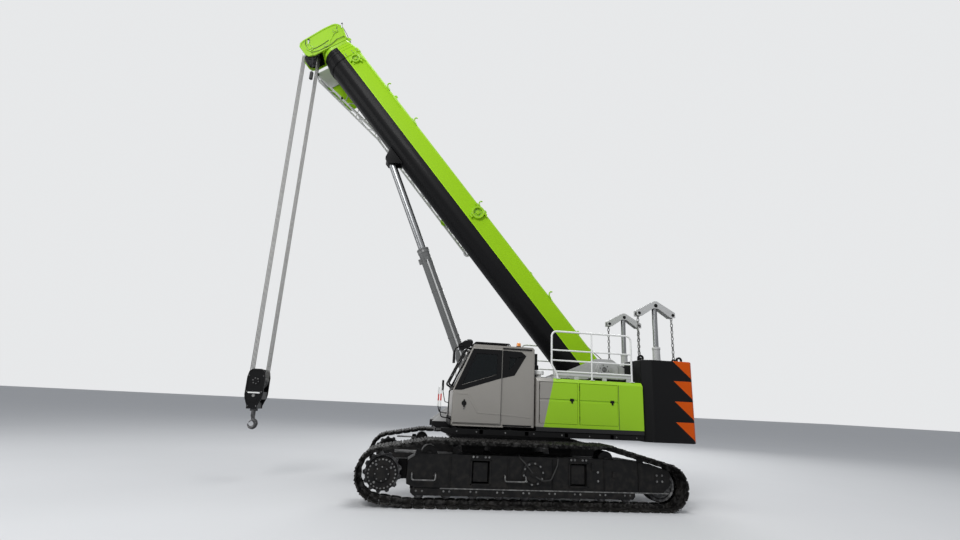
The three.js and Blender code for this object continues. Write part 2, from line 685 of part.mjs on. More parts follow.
// A lattice jib, laid along the boom's far side with its root forward. Past a bend its lower chords drop.
function flyJib() {
  const { x, z, start, length, chord, bend, drop } = JIB;
  const stations = [0, bend / 2, bend, length];
  const fall = (d) => Math.max(0, d - bend) * drop;
  const corner = (d, i, j) =>
    [x + i * jibHalf(d), -start - d, z + j * jibHalf(d) - (j < 0 ? fall(d) : 0)];
  const corners = [[1, 1], [1, -1], [-1, -1], [-1, 1]];
  const bars = [];
  corners.forEach(([i, j], k) => {
    const [m, n] = corners[(k + 1) % 4];
    bars.push(bar(corner(0, i, j), corner(bend, i, j), chord, 4));
    bars.push(bar(corner(bend, i, j), corner(length, i, j), chord, 4));
    stations.forEach((d, at) => {
      bars.push(bar(corner(d, i, j), corner(d, m, n), 22, 4));
      if (at === 0) return;
      const before = stations[at - 1];
      const [from, to] = at % 2 ? [[i, j], [m, n]] : [[m, n], [i, j]];
      bars.push(bar(corner(before, ...from), corner(d, ...to), 16, 4));
    });
  });
  const web = box(x - 110, x + 110, -start - 1340, -start - 20, z + 110, z + 130);
  return join(bars, web);
}

// ---- luffing cylinder, lying along its own axis -------------------------------------------

// Both pieces are drawn with the rod's eye at the origin and the cylinder hanging along -Z.
function luffingRod() {
  return cut(
    join(axle(-110, 110, 0, 0, 130, 20), bar([0, 0, -60], [0, 0, -CYLINDER.rodLength], CYLINDER.rodR, 16)),
    axle(-120, 120, 0, 0, 66, 24),
  );
}

function luffingBarrel(pinToPin) {
  const { barrelR, rodR, barrelLength } = CYLINDER;
  const top = -pinToPin + barrelLength;
  const bore = bar([0, 0, top + 10], [0, 0, -pinToPin + 130], rodR + 6, 16);
  const tube = cut(
    bar([0, 0, -pinToPin], [0, 0, top], barrelR, 20).add(
      bar([0, 0, top - 160], [0, 0, top], barrelR + 18, 20)),
    bore,
  );
  return join(tube, axle(-CHEEK.inner + RUN, CHEEK.inner - RUN, 0, -pinToPin, 70, 12),
    axle(-200, 200, 0, -pinToPin, 120, 16));
}

// ---- hook and its falls -------------------------------------------------------------------

function hookBlock(y) {
  const { top, bottom, half } = BLOCK;
  const cheek = [
    [y - 90, top], [y + 90, top], [y + 190, top - 180], [y + 190, bottom + 300],
    [y + 110, bottom + 60], [y + 110, bottom], [y - 110, bottom], [y - 110, bottom + 60],
    [y - 190, bottom + 300], [y - 190, top - 180],
  ];
  return join(
    prismX(cheek, half - 22, half),
    prismX(cheek, -half, 22 - half),
    box(10 - half, half - 10, y - 100, y + 100, bottom, bottom + 130),
    axle(10 - half, half - 10, y, 1780, 40, 12),
    box(10 - half, half - 10, y - 60, y + 60, top - 25, top),
  );
}

function hook(y) {
  const top = BLOCK.bottom - RUN;
  const bowl = 82;
  const thick = 42;
  const centre = BLOCK.hookTip + bowl + thick;
  const points = [[y, centre + 190], [y, centre + 130]];
  for (let i = 0; i <= 9; i++) {
    const angle = Math.PI * (0.42 - i * 0.155);
    points.push([y + bowl * Math.cos(angle), centre + bowl * Math.sin(angle)]);
  }
  const path = new THREE.CatmullRomCurve3(points.map(([a, b]) => new THREE.Vector3(0, a, b)));
  const section = new THREE.Shape().absarc(0, 0, thick, 0, 2 * Math.PI);
  const curve = new THREE.ExtrudeGeometry(section, {
    steps: 16, extrudePath: path, curveSegments: 4, bevelEnabled: false,
  });
  const shank = bar([0, y, centre + 150], [0, y, top], 45, 12);
  return join(solidOf(curve), shank, bar([0, y, top - 40], [0, y, top], 80, 12));
}

// Six falls of rope between the head's and the block's sheaves, tied by a bar at each end.
function ropeFalls(y, low, high) {
  const falls = [];
  for (let i = 0; i < 3; i++) {
    const x = (i - 1) * 110;
    falls.push(bar([x, y - 150, low], [x, y - 165, high], 11, 4));
    falls.push(bar([x, y + 150, low], [x, y + 165, high], 11, 4));
  }
  const tie = (z, half) => join(
    box(-130, 130, y - half - 14, y - half + 14, z - 12, z + 12),
    box(-130, 130, y + half - 14, y + half + 14, z - 12, z + 12),
    box(-14, 14, y - half, y + half, z - 12, z + 12),
  );
  return join(falls, tie(low + 12, 150), tie(high - 12, 165));
}

function boomAndHook() {
  node("boom_base_section", baseSection(), LIME, boom);
  for (let i = 1; i < SECTION.count; i++) node(`boom_section_${i + 1}`, innerSection(i), BLACK, boom);
  node("boom_head", boomHead(), LIME, boom);
  const reach = HEAD.half - HEAD.plate - 5;
  node("head_sheaves", sheaves(-FALLS_AXLE.s, FALLS_AXLE.t, 200, 5, 92, reach), DARK_STEEL, boom);
  node("guide_sheaves", sheaves(-GUIDE_AXLE.s, GUIDE_AXLE.t, 170, 2, 150, reach), DARK_STEEL, boom);
  node("fly_jib", flyJib(), LIME, boom);

  // The cylinder runs from its foot on the turntable to the lugs under the boom.
  const along = new THREE.Vector3(0, -LUG.s, LUG.t).applyEuler(boom.rotation).add(boom.position);
  const foot = new THREE.Vector3(0, CYLINDER.footY, CYLINDER.footZ);
  const run = along.clone().sub(foot);
  const cylinder = new THREE.Group();
  cylinder.position.copy(along);
  cylinder.quaternion.setFromUnitVectors(Z, run.clone().normalize());
  crane.add(cylinder);
  node("luffing_cylinder_rod", luffingRod(), CHROME, cylinder);
  node("luffing_cylinder_barrel", luffingBarrel(run.length()), DARK_STEEL, cylinder);

  const axleAt = new THREE.Vector3(0, -FALLS_AXLE.s, FALLS_AXLE.t);
  axleAt.applyEuler(boom.rotation).add(boom.position);
  const y = axleAt.y;
  node("hoist_rope_falls", ropeFalls(y, BLOCK.top + 6, axleAt.z - 235), ROPE);
  node("hook_block", hookBlock(y), BLACK);
  const sheaveReach = BLOCK.half - 22 - 5;
  node("hook_block_sheaves", sheaves(y, 2090, 180, 4, 92, sheaveReach), DARK_STEEL);
  node("hook", hook(y), DARK_STEEL);
}

undercarriage();
upperstructure();
boomAndHook();

export default crane;
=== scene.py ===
# %% [markdown]
# # Dressing a telescopic crawler crane
# The crane exists as plain solids of true size. This lesson puts the looks on them: camera, light and
# paints first, then the machine from the ground up. A solid whose shape is right is kept, or copied with
# softened edges, and one that only stood for something finer is replaced.

# %% Open the frame
import json
import math
from math import cos, radians, sin

import bmesh
import bpy
from mathutils import Matrix, Vector, geometry

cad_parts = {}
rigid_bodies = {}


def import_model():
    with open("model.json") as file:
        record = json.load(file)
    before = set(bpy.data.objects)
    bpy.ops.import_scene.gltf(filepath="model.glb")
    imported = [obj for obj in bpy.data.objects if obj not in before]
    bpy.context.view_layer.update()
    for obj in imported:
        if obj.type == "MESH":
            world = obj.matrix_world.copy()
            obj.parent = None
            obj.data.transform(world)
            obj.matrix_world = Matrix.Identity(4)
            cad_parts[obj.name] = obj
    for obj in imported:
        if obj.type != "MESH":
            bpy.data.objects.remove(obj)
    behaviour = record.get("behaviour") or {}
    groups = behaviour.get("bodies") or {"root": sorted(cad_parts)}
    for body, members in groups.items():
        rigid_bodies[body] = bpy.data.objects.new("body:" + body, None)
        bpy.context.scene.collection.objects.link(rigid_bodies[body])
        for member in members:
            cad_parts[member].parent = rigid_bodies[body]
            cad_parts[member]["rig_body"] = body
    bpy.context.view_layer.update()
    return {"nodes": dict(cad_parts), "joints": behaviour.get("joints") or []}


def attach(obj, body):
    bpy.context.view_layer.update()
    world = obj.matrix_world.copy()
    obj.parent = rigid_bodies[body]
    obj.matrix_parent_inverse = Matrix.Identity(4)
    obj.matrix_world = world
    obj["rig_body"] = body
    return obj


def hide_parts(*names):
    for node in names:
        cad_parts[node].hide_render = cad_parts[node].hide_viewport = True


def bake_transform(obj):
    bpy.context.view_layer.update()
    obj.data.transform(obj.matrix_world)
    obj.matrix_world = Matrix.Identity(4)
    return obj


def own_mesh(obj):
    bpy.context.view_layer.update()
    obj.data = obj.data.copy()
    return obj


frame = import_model()
nodes = frame["nodes"]
joints = {joint["name"]: joint for joint in frame["joints"]}

# %% [markdown]
# Two places steer everything: the slewing axis, from which lengths on the machine are measured, and the
# boom's foot pin, where the boom has a frame of its own, x across, s along and t up. Joint axes in the
# frame give both, so nothing is fitted by eye.

# %% Places to measure from
SLEW_Y = joints["slew"]["pos_m"][1]
FOOT = Vector(joints["boom_luff"]["pos_m"])
BOOM_AXIS = Vector(joints["telescope"]["axis"])
BOOM_ANGLE = math.atan2(BOOM_AXIS.z, -BOOM_AXIS.y)
ACROSS, FORWARD, REARWARD, UPWARD, DOWNWARD = (1, 0, 0), (0, -1, 0), (0, 1, 0), (0, 0, 1), (0, 0, -1)
CRANE = Matrix.Translation((0, SLEW_Y, 0))
BOOM = Matrix.Translation(FOOT) @ Matrix.Rotation(-BOOM_ANGLE, 4, "X")


def on_boom(x, s, t):
    """A point given across, along and above the boom's foot pin."""
    return BOOM @ Vector((x, -s, t))


def placed(name, data):
    """A new object that shows a mesh, a lamp or a camera."""
    thing = bpy.data.objects.new(name, data)
    bpy.context.scene.collection.objects.link(thing)
    return thing


print("boom at", round(math.degrees(BOOM_ANGLE), 1), "degrees, foot pin at", tuple(FOOT))

# %% [markdown]
# The camera stands at eye height beside the cab and looks up through a short lens, so the boom leans away
# and the near track fills the foot of the picture. Its axes are built by a turn, a tilt and a slight lean.

# %% Camera
CAMERA_AT = Vector((11.669, -1.427, 1.848))
TURN, TILT, LEAN = 0.13991, 0.2688, -0.04799
LENS = 18.08

level_right = Vector((sin(TURN), cos(TURN), 0))
level_ahead = Vector((-cos(TURN), sin(TURN), 0))
ahead = level_ahead * cos(TILT) + Vector((0, 0, 1)) * sin(TILT)
tilted_up = Vector((0, 0, 1)) * cos(TILT) - level_ahead * sin(TILT)
right = level_right * cos(LEAN) - tilted_up * sin(LEAN)
up = level_right * sin(LEAN) + tilted_up * cos(LEAN)

camera_data = bpy.data.cameras.new("eye_height_camera")
camera_data.lens = LENS
camera_data.clip_end = 400
camera = placed("eye_height_camera", camera_data)
camera.matrix_world = Matrix.Translation(CAMERA_AT) @ Matrix((right, up, -ahead)).transposed().to_4x4()
bpy.context.scene.camera = camera
print("camera", round((CAMERA_AT - FOOT).length, 1), "m from the boom foot")

# %% [markdown]
# The world, every material and every Geometry Nodes tree are graphs of nodes. One function adds a node to
# any of them: it sets the node's own settings first, then gives each socket a plain value or a link.

# %% Node maker
def plug(tree, socket, value):
    """Links a socket to another one, or gives it a plain value."""
    if isinstance(value, bpy.types.NodeSocket):
        tree.links.new(value, socket)
    else:
        socket.default_value = value


def add_node(tree, kind, sockets=None, output=0, **settings):
    """Adds a node with its settings and sockets, and returns one of its outputs."""
    node = tree.nodes.new(kind)
    for setting, value in settings.items():
        setattr(node, setting, value)
    for key, value in (sockets or {}).items():
        plug(tree, node.inputs[key], value)
    return node.outputs[output]


# %% [markdown]
# Four big soft lamps light the crane as a studio would: a key from the cab's side, fills from the front and
# the far side, and one above for the roof lines. The world adds a low even light, but shows the camera, the
# glossy paint and the glass a pale backdrop, which gives metal something to mirror.

# %% Lamps and world
bpy.context.scene.view_settings.view_transform = "Standard"


def area_lamp(name, place, target, size, power):
    data = bpy.data.lights.new(name, "AREA")
    data.shape = "DISK"
    data.size = size
    data.energy = power
    lamp = placed(name, data)
    lamp.location = place
    lamp.rotation_euler = (Vector(target) - Vector(place)).to_track_quat("-Z", "Y").to_euler()


area_lamp("key", (17, -9, 15), (0, 0, 4), 9, 2500)
area_lamp("fill", (-15, 9, 11), (0, 0, 4), 11, 1200)
area_lamp("front_fill", (3, -19, 6), (0, 0, 4), 9, 650)
area_lamp("top", (1, 2, 24), (0, 0, 4), 12, 2000)

world = bpy.data.worlds.new("studio")
bpy.context.scene.world = world
world.use_nodes = True
sky = world.node_tree
sky.nodes.clear()
seen = add_node(sky, "ShaderNodeLightPath", output="Is Camera Ray")
for ray in ("Is Glossy Ray", "Is Transmission Ray"):
    seen = add_node(sky, "ShaderNodeMath", {0: seen, 1: add_node(sky, "ShaderNodeLightPath", output=ray)},
        operation="MAXIMUM")
soft_light = add_node(sky, "ShaderNodeBackground", {"Color": (0.86, 0.91, 1.0, 1), "Strength": 0.36})
backdrop = add_node(sky, "ShaderNodeBackground", {"Color": (0.8, 0.81, 0.82, 1)})
chosen = add_node(sky, "ShaderNodeMixShader", {0: seen, 1: soft_light, 2: backdrop})
sky.links.new(chosen, sky.nodes.new("ShaderNodeOutputWorld").inputs["Surface"])

# %% [markdown]
# A finish is a small graph of nodes, most of which do sums. A small class wraps a socket, so that a Python
# expression such as 1 - rust * 0.5 adds the Math nodes by itself. That is shorter and easier to read than
# one node after another.

# %% Shader sums as Python
class Wire:
    """An output socket that Python arithmetic can be done on."""

    def __init__(self, look, socket):
        self.look = look
        self.socket = socket

    def math(self, operation, *values):
        return self.look.add("ShaderNodeMath", dict(enumerate(values)), operation=operation)

    def __add__(self, other):
        return self.math("ADD", self, other)

    def __sub__(self, other):
        return self.math("SUBTRACT", self, other)

    def __rsub__(self, other):
        return self.math("SUBTRACT", other, self)

    def __mul__(self, other):
        return self.math("MULTIPLY", self, other)

    __radd__ = __add__
    __rmul__ = __mul__

    def rises(self, low, high):
        """0 below low, 1 above high, smooth between."""
        return self.look.add("ShaderNodeMapRange", {"Value": self, "From Min": low, "From Max": high},
            interpolation_type="SMOOTHSTEP")


class Look:
    """A material under construction, with its Principled shader."""

    def __init__(self, name, **plain):
        self.material = bpy.data.materials.new(name)
        self.material.use_nodes = True
        self.tree = self.material.node_tree
        self.shader = self.tree.nodes["Principled BSDF"]
        self.feed(**plain)
        self.place = self.add("ShaderNodeTexCoord", output="Object")

    def add(self, kind, sockets=None, output=0, **settings):
        plain = {key: getattr(value, "socket", value) for key, value in (sockets or {}).items()}
        return Wire(self, add_node(self.tree, kind, plain, output, **settings))

    def feed(self, **inputs):
        for key, value in inputs.items():
            plug(self.tree, self.shader.inputs[key.replace("_", " ")], getattr(value, "socket", value))

    def mix(self, mask, first, second):
        return self.add("ShaderNodeMix", {0: mask, 6: first, 7: second}, output=2, data_type="RGBA")

    def noise(self, scale, detail=3.0):
        return self.add("ShaderNodeTexNoise", {"Vector": self.place, "Scale": scale, "Detail": detail})

    def axis(self, letter, place=None):
        return self.add("ShaderNodeSeparateXYZ", {"Vector": place or self.place}, output=letter)

    def bump(self, height, strength, distance):
        self.feed(Normal=self.add("ShaderNodeBump", {"Height": height, "Strength": strength,
            "Distance": distance}))


def tint(colour, factor=1.0):
    return tuple(min(1.0, part * factor) for part in colour) + (1.0,)


# %% [markdown]
# Machine paint is never quite flat: it has a faint orange peel, a tone that drifts over a metre or so, and
# dust that is thick near the ground and gone at shoulder height. One function gives every paint all three
# in its own amounts, so that lime, black and grey belong to the same machine.

# %% Paints
LIME = (0.3, 0.565, 0.01)
BLACK = (0.0055, 0.0055, 0.006)
WARM_GREY = (0.285, 0.27, 0.245)
PALE_GREY = (0.5, 0.5, 0.49)
WHITE = (0.78, 0.78, 0.76)
SLATE_GREY = (0.125, 0.127, 0.125)
ORANGE = (0.62, 0.085, 0.004)
DUST = (0.16, 0.14, 0.115)


def painted(look, colour, gloss, dust=0.1, dust_top=1.6, peel=0.05, shine=0.32):
    """Gives a look the tone drift, dust film and orange peel of sprayed paint."""
    drift = look.noise(1.1, 2.0)
    body = colour if isinstance(colour, Wire) else look.mix(drift, tint(colour, 0.93), tint(colour, 1.06))
    speckle = look.noise(9.0, 6.0)
    film = (1 - look.axis("Z").rises(0.1, dust_top)) * speckle.rises(0.38, 0.72) * dust
    look.feed(Base_Color=look.mix(film, body, tint(DUST)), Roughness=film * 0.9 + drift * 0.06
        + (gloss - 0.03), Specular_IOR_Level=shine, Coat_Weight=0.12 * shine / 0.32, Coat_Roughness=0.12)
    look.bump(look.noise(420.0, 2.0), peel, 0.002)
    return look.material


lime_paint = painted(Look("lime_paint"), LIME, 0.3)
black_paint = painted(Look("black_paint"), BLACK, 0.38, shine=0.11)
warm_grey_paint = painted(Look("warm_grey_paint"), WARM_GREY, 0.34)
pale_grey_paint = painted(Look("pale_grey_paint"), PALE_GREY, 0.42)
white_paint = painted(Look("white_paint"), WHITE, 0.3)
slate_grey_paint = painted(Look("slate_grey_paint"), SLATE_GREY, 0.34)
print("six plain paints mixed")

# %% [markdown]
# Four big pieces carry two colours, which masking tape parts on the real machine. Here the mask is worked
# out from the place on the piece, with a slope written as a sum, so its edge stays sharp at any distance.
# It gives the boom's black belly, the frame's black floor, the hood's leaning edge and the saw teeth.

# %% Two-tone paints
TOOTH_TOP, TOOTH_PITCH, TOOTH_DEPTH, TOOTH_DROP = 2.95, 0.4363, 0.475, 0.42


def tone(look, colour, scale, dark, bright, detail=2.0):
    """A colour that drifts between a darker and a brighter share of itself."""
    return look.mix(look.noise(scale, detail), tint(colour, dark), tint(colour, bright))


def boom_coat():
    """Lime above, black below, and a paler lime line painted as a highlight where they meet."""
    look = Look("boom_lime_and_black")
    turned = look.add("ShaderNodeMapping", {"Vector": look.add("ShaderNodeVectorMath",
        {0: look.place, 1: -FOOT}, operation="ADD"), "Rotation": (BOOM_ANGLE, 0, 0)})
    above = look.axis("Z", turned)
    lime = tone(look, LIME, 0.9, 0.95, 1.06)
    # A narrow band of lime at 1.5 times its brightness, just under the lime, is a painted highlight along the
    # seam's edge.
    painted_highlight_line = above.rises(-0.352, -0.35) * (1 - above.rises(-0.339, -0.337))
    coat = look.mix(above.rises(-0.339, -0.337), tint(BLACK), lime)
    coat = look.mix(painted_highlight_line, coat, tint(LIME, 1.5))
    painted(look, coat, 0.46, shine=0.09)
    return look.material


def frame_coat():
    """Pale grey side plates over a black floor."""
    look = Look("frame_grey_and_black")
    painted(look, look.mix(look.axis("Z").rises(1.418, 1.422), tint(BLACK), tint(PALE_GREY)), 0.4, shine=0.2)
    return look.material


def hood_coat():
    """Warm grey at the front, lime behind a leaning edge, black along the foot."""
    look = Look("hood_grey_and_lime")
    along, height = look.axis("Y"), look.axis("Z")
    edge = (height - 1.43) * 0.22 + (SLEW_Y + 0.5)
    behind = (along - edge).rises(-0.004, 0.004)
    grey = tone(look, WARM_GREY, 1.3, 0.96, 1.04)
    lime = tone(look, LIME, 0.9, 0.95, 1.06)
    coat = look.mix(height.rises(1.428, 1.432), tint(BLACK), look.mix(behind, grey, lime))
    painted(look, coat, 0.32)
    return look.material


def weight_coat():
    """Black with four orange saw teeth down the rear edge of each side."""
    look = Look("counterweight_coat")
    across, along, height = look.axis("X"), look.axis("Y"), look.axis("Z")
    rear = SLEW_Y + 3.93
    down = (TOOTH_TOP - height) * (1 / TOOTH_PITCH)
    within = down.math("FRACT", down)
    tooth = (along - (rear - TOOTH_DEPTH) - within * (TOOTH_DEPTH * TOOTH_PITCH / TOOTH_DROP)).rises(0, 0.004)
    on_side = across.math("ABSOLUTE", across).rises(1.436, 1.44)
    tooth = tooth * on_side * down.rises(0.0, 0.01) * (1 - down.rises(3.995, 4.0))
    black = tone(look, BLACK, 1.7, 0.9, 1.2, 3.0)
    painted(look, look.mix(tooth, black, tint(ORANGE)), 0.45, peel=0.12, shine=0.1)
    return look.material


boom_paint = boom_coat()
hood_paint = hood_coat()
frame_paint = frame_coat()
weight_paint = weight_coat()

# %% [markdown]
# Track shoes are dark rolled steel that the ground has scuffed, a cylinder's rod is hard chrome with fine
# marks, and chassis paint is duller and dustier than panel paint. One function makes the scuffed steels
# from a wear mask. A simpler one lets a finish drift between two tones.

# %% Metals
def scuffed_steel(name, base, worn, amount, roughness):
    look = Look(name, Metallic=0.75, Specular_IOR_Level=0.2)
    wear = look.noise(14.0, 6.0).rises(0.42, 0.66) * amount
    film = (1 - look.axis("Z").rises(0.0, 1.3)) * look.noise(5.0, 5.0).rises(0.4, 0.75) * 0.14
    look.feed(Base_Color=look.mix(film, look.mix(wear, tint(base), tint(worn)), tint(DUST, 0.6)),
        Roughness=film * 0.3 + (1 - wear) * 0.2 + (roughness - 0.1))
    look.bump(look.noise(160.0, 4.0), 0.25, 0.003)
    return look.material


def drifting(name, scale, first, second, roughness, spread=0.0, detail=3.0, **plain):
    """A look whose colour, and with a spread its roughness too, drifts between two values."""
    look = Look(name, **plain)
    drift = look.noise(scale, detail)
    look.feed(Base_Color=look.mix(drift, tint(first), tint(second)), Roughness=drift * spread + roughness
        if spread else roughness)
    return look


track_steel = scuffed_steel("track_steel", (0.013, 0.0125, 0.012), (0.15, 0.146, 0.142), 0.38, 0.5)
forged_steel = scuffed_steel("forged_steel", (0.06, 0.06, 0.062), (0.22, 0.22, 0.22), 0.5, 0.45)
bolt_steel = scuffed_steel("bolt_steel", (0.13, 0.13, 0.13), (0.34, 0.34, 0.33), 0.6, 0.42)
chassis_paint = painted(Look("chassis_black"), (0.008, 0.008, 0.0083), 0.45, dust=0.08, peel=0.12, shine=0.1)
chrome = drifting("hard_chrome", 60.0, (0.19, 0.195, 0.2), (0.24, 0.245, 0.25), 0.26, 0.1, 2.0,
    Metallic=1.0).material
rope_steel = drifting("greased_rope", 25.0, (0.1, 0.098, 0.095), (0.3, 0.3, 0.29), 0.35, 0.25, 4.0,
    Metallic=0.8).material

# %% [markdown]
# Cab glass is so dark that the seat behind it is a shadow. A near-black shader that lets a little through
# does that without a slow refraction. Rubber is matt, and the seat cloth's weave is a bump of two crossed
# waves.

# %% Glass, rubber, cloth and lamps
def glass_pane():
    look = Look("tinted_glass", Base_Color=(0.006, 0.008, 0.009, 1), Specular_IOR_Level=0.12, Alpha=0.93)
    look.feed(Roughness=look.noise(3.0, 2.0) * 0.03 + 0.02)
    return look.material


def rubber():
    look = drifting("rubber", 6.0, (0.01, 0.01, 0.01), (0.022, 0.022, 0.021), 0.6)
    look.feed(Roughness=look.noise(40.0) * 0.15 + 0.6)
    look.bump(look.noise(300.0), 0.2, 0.001)
    return look.material


def woven_cloth():
    look = Look("seat_cloth")
    warp, weft = (look.add("ShaderNodeTexWave", {"Vector": look.place, "Scale": 260.0}, output="Fac",
        bands_direction=letter) for letter in "XZ")
    weave = warp * weft
    look.feed(Base_Color=look.mix(weave, (0.018, 0.018, 0.02, 1), (0.05, 0.05, 0.055, 1)), Roughness=0.9)
    look.bump(weave, 0.4, 0.001)
    return look.material


def lens(name, colour, glow=0.0):
    look = Look(name, Roughness=0.12, Coat_Weight=0.6)
    look.feed(Base_Color=look.mix(look.noise(30.0), tint(colour, 0.9), tint(colour, 1.1)))
    if glow:
        look.feed(Emission_Color=tint(colour), Emission_Strength=glow)
    return look.material


glass = glass_pane()
black_rubber = rubber()
seat_cloth = woven_cloth()
clear_lens = lens("clear_lens", (0.75, 0.77, 0.78))
red_lens = lens("red_lens", (0.62, 0.02, 0.01))
amber_lens = lens("amber_lens", (0.8, 0.25, 0.01))
mirror_glass = drifting("mirror", 2.0, (0.8, 0.81, 0.82), (0.86, 0.87, 0.88), 0.04, Metallic=1.0).material

# %% [markdown]
# The floor is a plain pale studio floor, wide enough to pass the horizon. It isn't part of the crane.

# %% Floor
FLOOR_REACH = 180
floor_corners = [(FLOOR_REACH * i, FLOOR_REACH * k, 0) for i, k in ((-1, -1), (1, -1), (1, 1), (-1, 1))]
floor_mesh = bpy.data.meshes.new("studio_floor")
floor_mesh.from_pydata(floor_corners, [], [(0, 1, 2, 3)])
floor_look = drifting("studio_floor", 0.4, (0.6, 0.605, 0.61), (0.63, 0.635, 0.64), 0.75)
floor_mesh.materials.append(floor_look.material)
floor = placed("studio_floor", floor_mesh)

# %% [markdown]
# Most pieces are closed solids of sheet, bar and plate. A small builder gathers such solids in one mesh, as
# extruded outlines, bars and turned profiles. It adds a narrow bevel, because a sharp edge never catches
# light and so never looks real.

# %% Mesh builder
CIRCLE = 2 * math.pi
UPPER, LOWER = "upperstructure", "undercarriage"


class Solid:
    """Closed shapes gathered into one mesh, in a frame of their own."""

    def __init__(self, place=CRANE):
        self.mesh = bmesh.new()
        self.place = place
        self.materials, self.current = [], 0

    def use(self, material):
        """Faces added from now on take this material."""
        if material not in self.materials:
            self.materials.append(material)
        self.current = self.materials.index(material)
        return self

    def rings(self, rings, closed=False):
        """Skins a row of equal rings of points; the ends are capped unless the row closes on itself."""
        rows = [[self.mesh.verts.new(point) for point in ring] for ring in rings]
        count = len(rows[0])
        faces = []
        for i in range(len(rows) if closed else len(rows) - 1):
            a, b = rows[i], rows[(i + 1) % len(rows)]
            for k in range(count):
                m = (k + 1) % count
                faces.append(self.mesh.faces.new((a[k], a[m], b[m], b[k])))
        if not closed:
            faces += [self.mesh.faces.new(rows[0][::-1]), self.mesh.faces.new(rows[-1])]
        for face in faces:
            face.material_index = self.current
        return self

    def prism(self, outline, axis, start, end):
        """An outline in the other two axes, in alphabetical order, from start to end along an axis."""
        order = {"x": (2, 0, 1), "y": (0, 2, 1), "z": (0, 1, 2)}[axis]

        def ring(at):
            return [tuple((a, b, at)[i] for i in order) for a, b in outline]

        return self.rings([ring(start), ring(end)])

    def box(self, low, high):
        (x0, y0, z0), (x1, y1, z1) = low, high
        return self.prism([(x0, y0), (x1, y0), (x1, y1), (x0, y1)], "z", z0, z1)

    def turned(self, start, toward, profile, sides=24, closed=False):
        """A profile of (distance along, radius) turned about the line that leaves start in a direction."""
        start, axis = Vector(start), Vector(toward).normalized()
        aside = axis.orthogonal().normalized()
        other = axis.cross(aside)
        angles = [CIRCLE * k / sides for k in range(sides)]
        ring = [aside * cos(a) + other * sin(a) for a in angles]
        return self.rings([[start + axis * d + arm * max(r, 0.0004) for arm in ring] for d, r in profile],
            closed)

    def bar(self, start, end, radius, sides=16):
        line = Vector(end) - Vector(start)
        return self.turned(start, line, [(0, radius), (line.length, radius)], sides)

    def baked(self, name):
        """The shapes as plain mesh data in the world's frame, with faces turned outwards."""
        self.mesh.transform(self.place)
        bmesh.ops.recalc_face_normals(self.mesh, faces=self.mesh.faces)
        data = bpy.data.meshes.new(name)
        self.mesh.to_mesh(data)
        self.mesh.free()
        for material in self.materials:
            data.materials.append(material)
        return data

    def done(self, name, body, slot, bevel=0.004, **kept):
        return show(name, self.baked(name), body, slot, bevel=bevel, **kept)


def show(name, data, body, slot, bevel=0.0, segments=2, smooth=35, replaces=()):
    """Puts a mesh on a body as a piece, with soft edges and smooth round faces."""
    data.name = name
    data.shade_smooth()
    data.set_sharp_from_angle(angle=radians(smooth))
    piece = placed(name, data)
    if bevel:
        rounding = piece.modifiers.new("edges", "BEVEL")
        rounding.width = bevel
        rounding.segments = segments
        rounding.limit_method = "ANGLE"
        rounding.angle_limit = radians(32)
        rounding.harden_normals = True
    if body:
        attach(piece, body)
    if replaces:
        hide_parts(*replaces)
    print(name, "with", len(data.polygons), "faces on", body or "two bodies")
    return piece


# %% [markdown]
# Many solids of the frame only lack softness. Such a node is copied, its loose triangles are welded and
# dissolved into flat faces, and the copy takes a bevel and a paint. The node's own mesh has to stay as it
# is, so the copy stands in for it.

# %% Softened copies of solids
def softened(node, material, slot, bevel=0.008, segments=2):
    body = nodes[node]["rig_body"]
    work = bmesh.new()
    work.from_mesh(nodes[node].data)
    bmesh.ops.remove_doubles(work, verts=work.verts, dist=0.00005)
    bmesh.ops.dissolve_limit(work, angle_limit=radians(2), verts=work.verts, edges=work.edges)
    data = bpy.data.meshes.new(node + "_skin")
    work.to_mesh(data)
    work.free()
    data.materials.append(material)
    return show(node + "_skin", data, body, slot, bevel, segments, replaces=(node,))


SIDES = {"left": 1, "right": -1}

# %% [markdown]
# What repeats is left to Geometry Nodes. A short class builds a tree with named inputs. One function puts
# it on a carrier mesh, sets the inputs by their identifiers and takes the result as a plain mesh. Each tree
# ends by making its instances real.

# %% Geometry Nodes helpers
class Tree:
    """A Geometry Nodes tree under construction."""

    def __init__(self, name):
        self.group = bpy.data.node_groups.new(name, "GeometryNodeTree")
        self.group.interface.new_socket("Geometry", in_out="INPUT", socket_type="NodeSocketGeometry")
        self.group.interface.new_socket("Geometry", in_out="OUTPUT", socket_type="NodeSocketGeometry")
        self.start = self.group.nodes.new("NodeGroupInput")
        self.ids = {}

    def input(self, name, kind, default=None):
        socket = self.group.interface.new_socket(name, in_out="INPUT", socket_type="NodeSocket" + kind)
        if default is not None:
            socket.default_value = default
        self.ids[name] = socket.identifier
        return self.start.outputs[name]

    def node(self, kind, sockets=None, output=0, **settings):
        return add_node(self.group, kind, sockets, output, **settings)

    def finish(self, geometry, material):
        real = self.node("GeometryNodeRealizeInstances", {"Geometry": geometry})
        real = self.node("GeometryNodeSetMaterial", {"Geometry": real, "Material": material})
        end = self.group.nodes.new("NodeGroupOutput")
        self.group.links.new(real, end.inputs[0])
        return self


def grow(tree, carrier, **inputs):
    """Runs a tree on a carrier mesh and returns the plain mesh that it made."""
    holder = placed("carrier", carrier)
    modifier = holder.modifiers.new("tree", "NODES")
    modifier.node_group = tree.group
    for name, value in inputs.items():
        modifier[tree.ids[name.replace("_", " ")]] = value
    graph = bpy.context.evaluated_depsgraph_get()
    made = bpy.data.meshes.new_from_object(holder.evaluated_get(graph), depsgraph=graph)
    bpy.data.objects.remove(holder)
    bpy.data.meshes.remove(carrier)
    return made


# %% [markdown]
# Handrails, lattice bars, hoses and guards are round bar along a run of points with bent corners. The tree
# turns edges into curves, rounds their corners with Fillet Curve and sweeps a circle along them.

